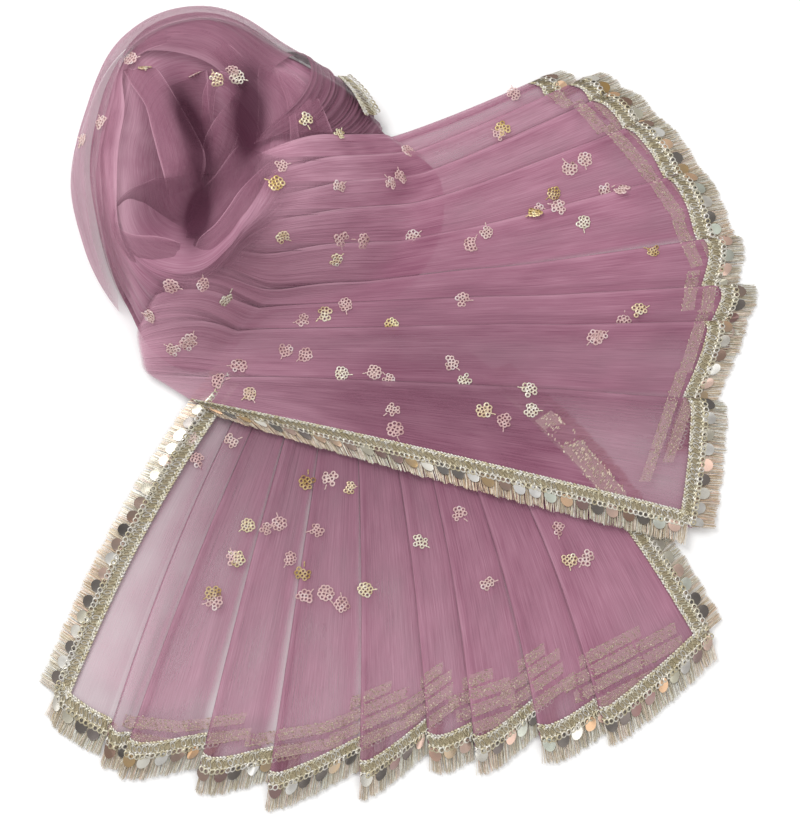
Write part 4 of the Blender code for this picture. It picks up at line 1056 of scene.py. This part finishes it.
trimmed("lower_hem", [hem_ribbon(LOWER_TAIL, i) for i in range(10)],
        [f"trim_lower_hem_{n:02d}" for n in range(1, 11)], 3, HEM_THREADS,
        lace_below(LOWER_TAIL, cloth_lower_tail, range(4, 9)))
trimmed("upper_hem", [hem_ribbon(UPPER_TAIL, i) for i in range(9)], [f"trim_upper_hem_{n:02d}" for n in range(1, 10)],
        5, HEM_THREADS,
        lace_below(UPPER_TAIL, cloth_upper_tail, (), [side_ribbon(LOWER_TAIL, 9, 0.85, 0.3)]))
trimmed("lower_left", [side_ribbon(LOWER_TAIL, 0, 0.05, 0.99)], ["trim_lower_left"], 7, SIDE_THREADS)
trimmed("lower_right", [side_ribbon(LOWER_TAIL, 9, 0.12, 0.985)], ["trim_lower_right"], 11, SIDE_THREADS)
trimmed("upper_side", [side_ribbon(UPPER_TAIL, 8, 0.01, 0.99)], ["trim_upper_side"], 13, SIDE_THREADS)
angles = np.linspace(36.0, 20.0, 60)
trimmed("shoulder", [ribbon(on_side(angles, 0.38, 6.0), on_side(angles, 0.20, 6.0), heap_height)], ["trim_shoulder"],
        17, 0.0)


# The sprig motifs
# Small butis are embroidered all over the net, each a wreath of looped gilt stitches round a knot with a short
# stem. Those on folded-under layers show dimly through the cloth that lies over them.
BUTIS_UPPER = ((-198, 166), (-160, 213), (-102, 208), (-114, 201), (-59, 179), (-76, 131), (-38, 136), (0, 153),
               (8, 115), (-38, 174), (5, 174), (66, 190), (73, 214), (108, 163), (98, 146), (131, 149), (86, 133),
               (116, 126), (160, 107), (150, 67), (125, 50), (-72, 101), (-40, 94), (45, 111), (-24, 107), (39, 73),
               (40, 21), (52, 1), (80, 14), (81, 1), (-3, -11), (-7, 21), (-36, 25), (-59, 37), (-47, 64), (-34, 70),
               (-5, 57), (-100, 30), (-93, 12), (-140, 38), (-129, 42), (-107, 65), (-139, 67))
BUTIS_LOWER = ((-104, -17), (-125, -29), (-57, -43), (-43, -41), (-31, -47), (-74, -70), (-93, -71), (-51, -74),
               (-113, -113), (-99, -92), (-45, -113), (-21, -111), (12, -81), (36, -64), (97, -73), (103, -92),
               (53, -107), (-59, -101))
BUTI_TINTS = np.array(((0.86, 0.68, 0.36), (0.99, 0.90, 0.70), (1.0, 0.98, 0.93), (0.52, 0.36, 0.15),
                       (0.96, 0.80, 0.64)))
DIM_TINTS = np.array(((0.90, 0.70, 0.67), (0.84, 0.61, 0.60), (0.95, 0.80, 0.74)))

bpy.ops.mesh.primitive_torus_add(major_segments=7, minor_segments=3, major_radius=1.0, minor_radius=0.5)
wreath_loop, wreath_loop_faces = taken("wreath_loop")


def sprig():
    """The points of one buti: an uneven wreath of nine loops, four inside it and a stem of two stitches."""
    reach = chance.uniform(2.7, 3.5, 9)
    copies = [wreath_loop * chance.uniform(0.85, 1.15)
              + (reach[k] * math.cos(k * math.tau / 9), reach[k] * math.sin(k * math.tau / 9), 0.3) for k in range(9)]
    copies = [copies[k] for k in chance.permutation(9)[:chance.randint(6, 10)]]
    copies += [wreath_loop * 0.95 + (1.3 * math.cos(k * math.tau / 4), 1.3 * math.sin(k * math.tau / 4), 0.4)
               for k in range(4)]
    stems = [stitch[:, [1, 0, 2]] * 0.55 + (0.25 * k, -4.6 - 1.4 * k, 0.2) for k in range(2)]
    return np.array(copies), np.array(stems)


cloth_faces = [BVHTree.FromObject(o, bpy.context.evaluated_depsgraph_get()) for o in bpy.data.objects
               if o.name.startswith("cloth_") or o.name == "net_heap"]
chance = np.random.RandomState(23)
bright, dim = [], []
for spots, covered in ((BUTIS_UPPER, 0.45), (BUTIS_LOWER, 0.4)):
    strays = [(x + chance.uniform(-15, 15), y + chance.uniform(-13, 13)) for x, y in spots if chance.uniform() < 0.6]
    for n, (x, y) in enumerate(list(spots) + strays):
        above = Vector(to_metres(np.array((x, y, 0.0)))) + Vector((0, 0, 0.2))
        hits = [hit for hit in (faces.ray_cast(above, Vector((0, 0, -1))) for faces in cloth_faces) if hit[0]]
        if not hits:
            continue
        place, normal = max(hits, key=lambda hit: hit[0].z)[:2]
        normal = np.array(normal) * np.sign(normal[2])
        turn = chance.uniform(0, math.tau)
        side = unit(np.cross(normal, (math.cos(turn), math.sin(turn), 0.0)))
        axes = np.array([side, np.cross(normal, side), normal])
        start = np.array(place) / MM + MIDDLE + normal * 0.15
        size = chance.uniform(0.95, 1.18)
        kept, tints = (dim, DIM_TINTS) if n >= len(spots) or chance.uniform() < covered else (bright, BUTI_TINTS)
        tint = tints[chance.randint(len(tints))]
        loops, stems = sprig()
        kept.append(((loops * size) @ axes + start, wreath_loop_faces,
                     np.clip(tint + chance.normal(0, 0.16, (len(loops), 1)), 0.02, 1)))
        kept.append(((stems * size) @ axes + start, stitch_faces,
                     np.clip(tint + chance.normal(0, 0.06, (len(stems), 1)), 0.02, 1)))
join_copies("sprig_motifs", bright, sprig_gilt)
join_copies("sprig_motifs_under", dim, covered_gilt)
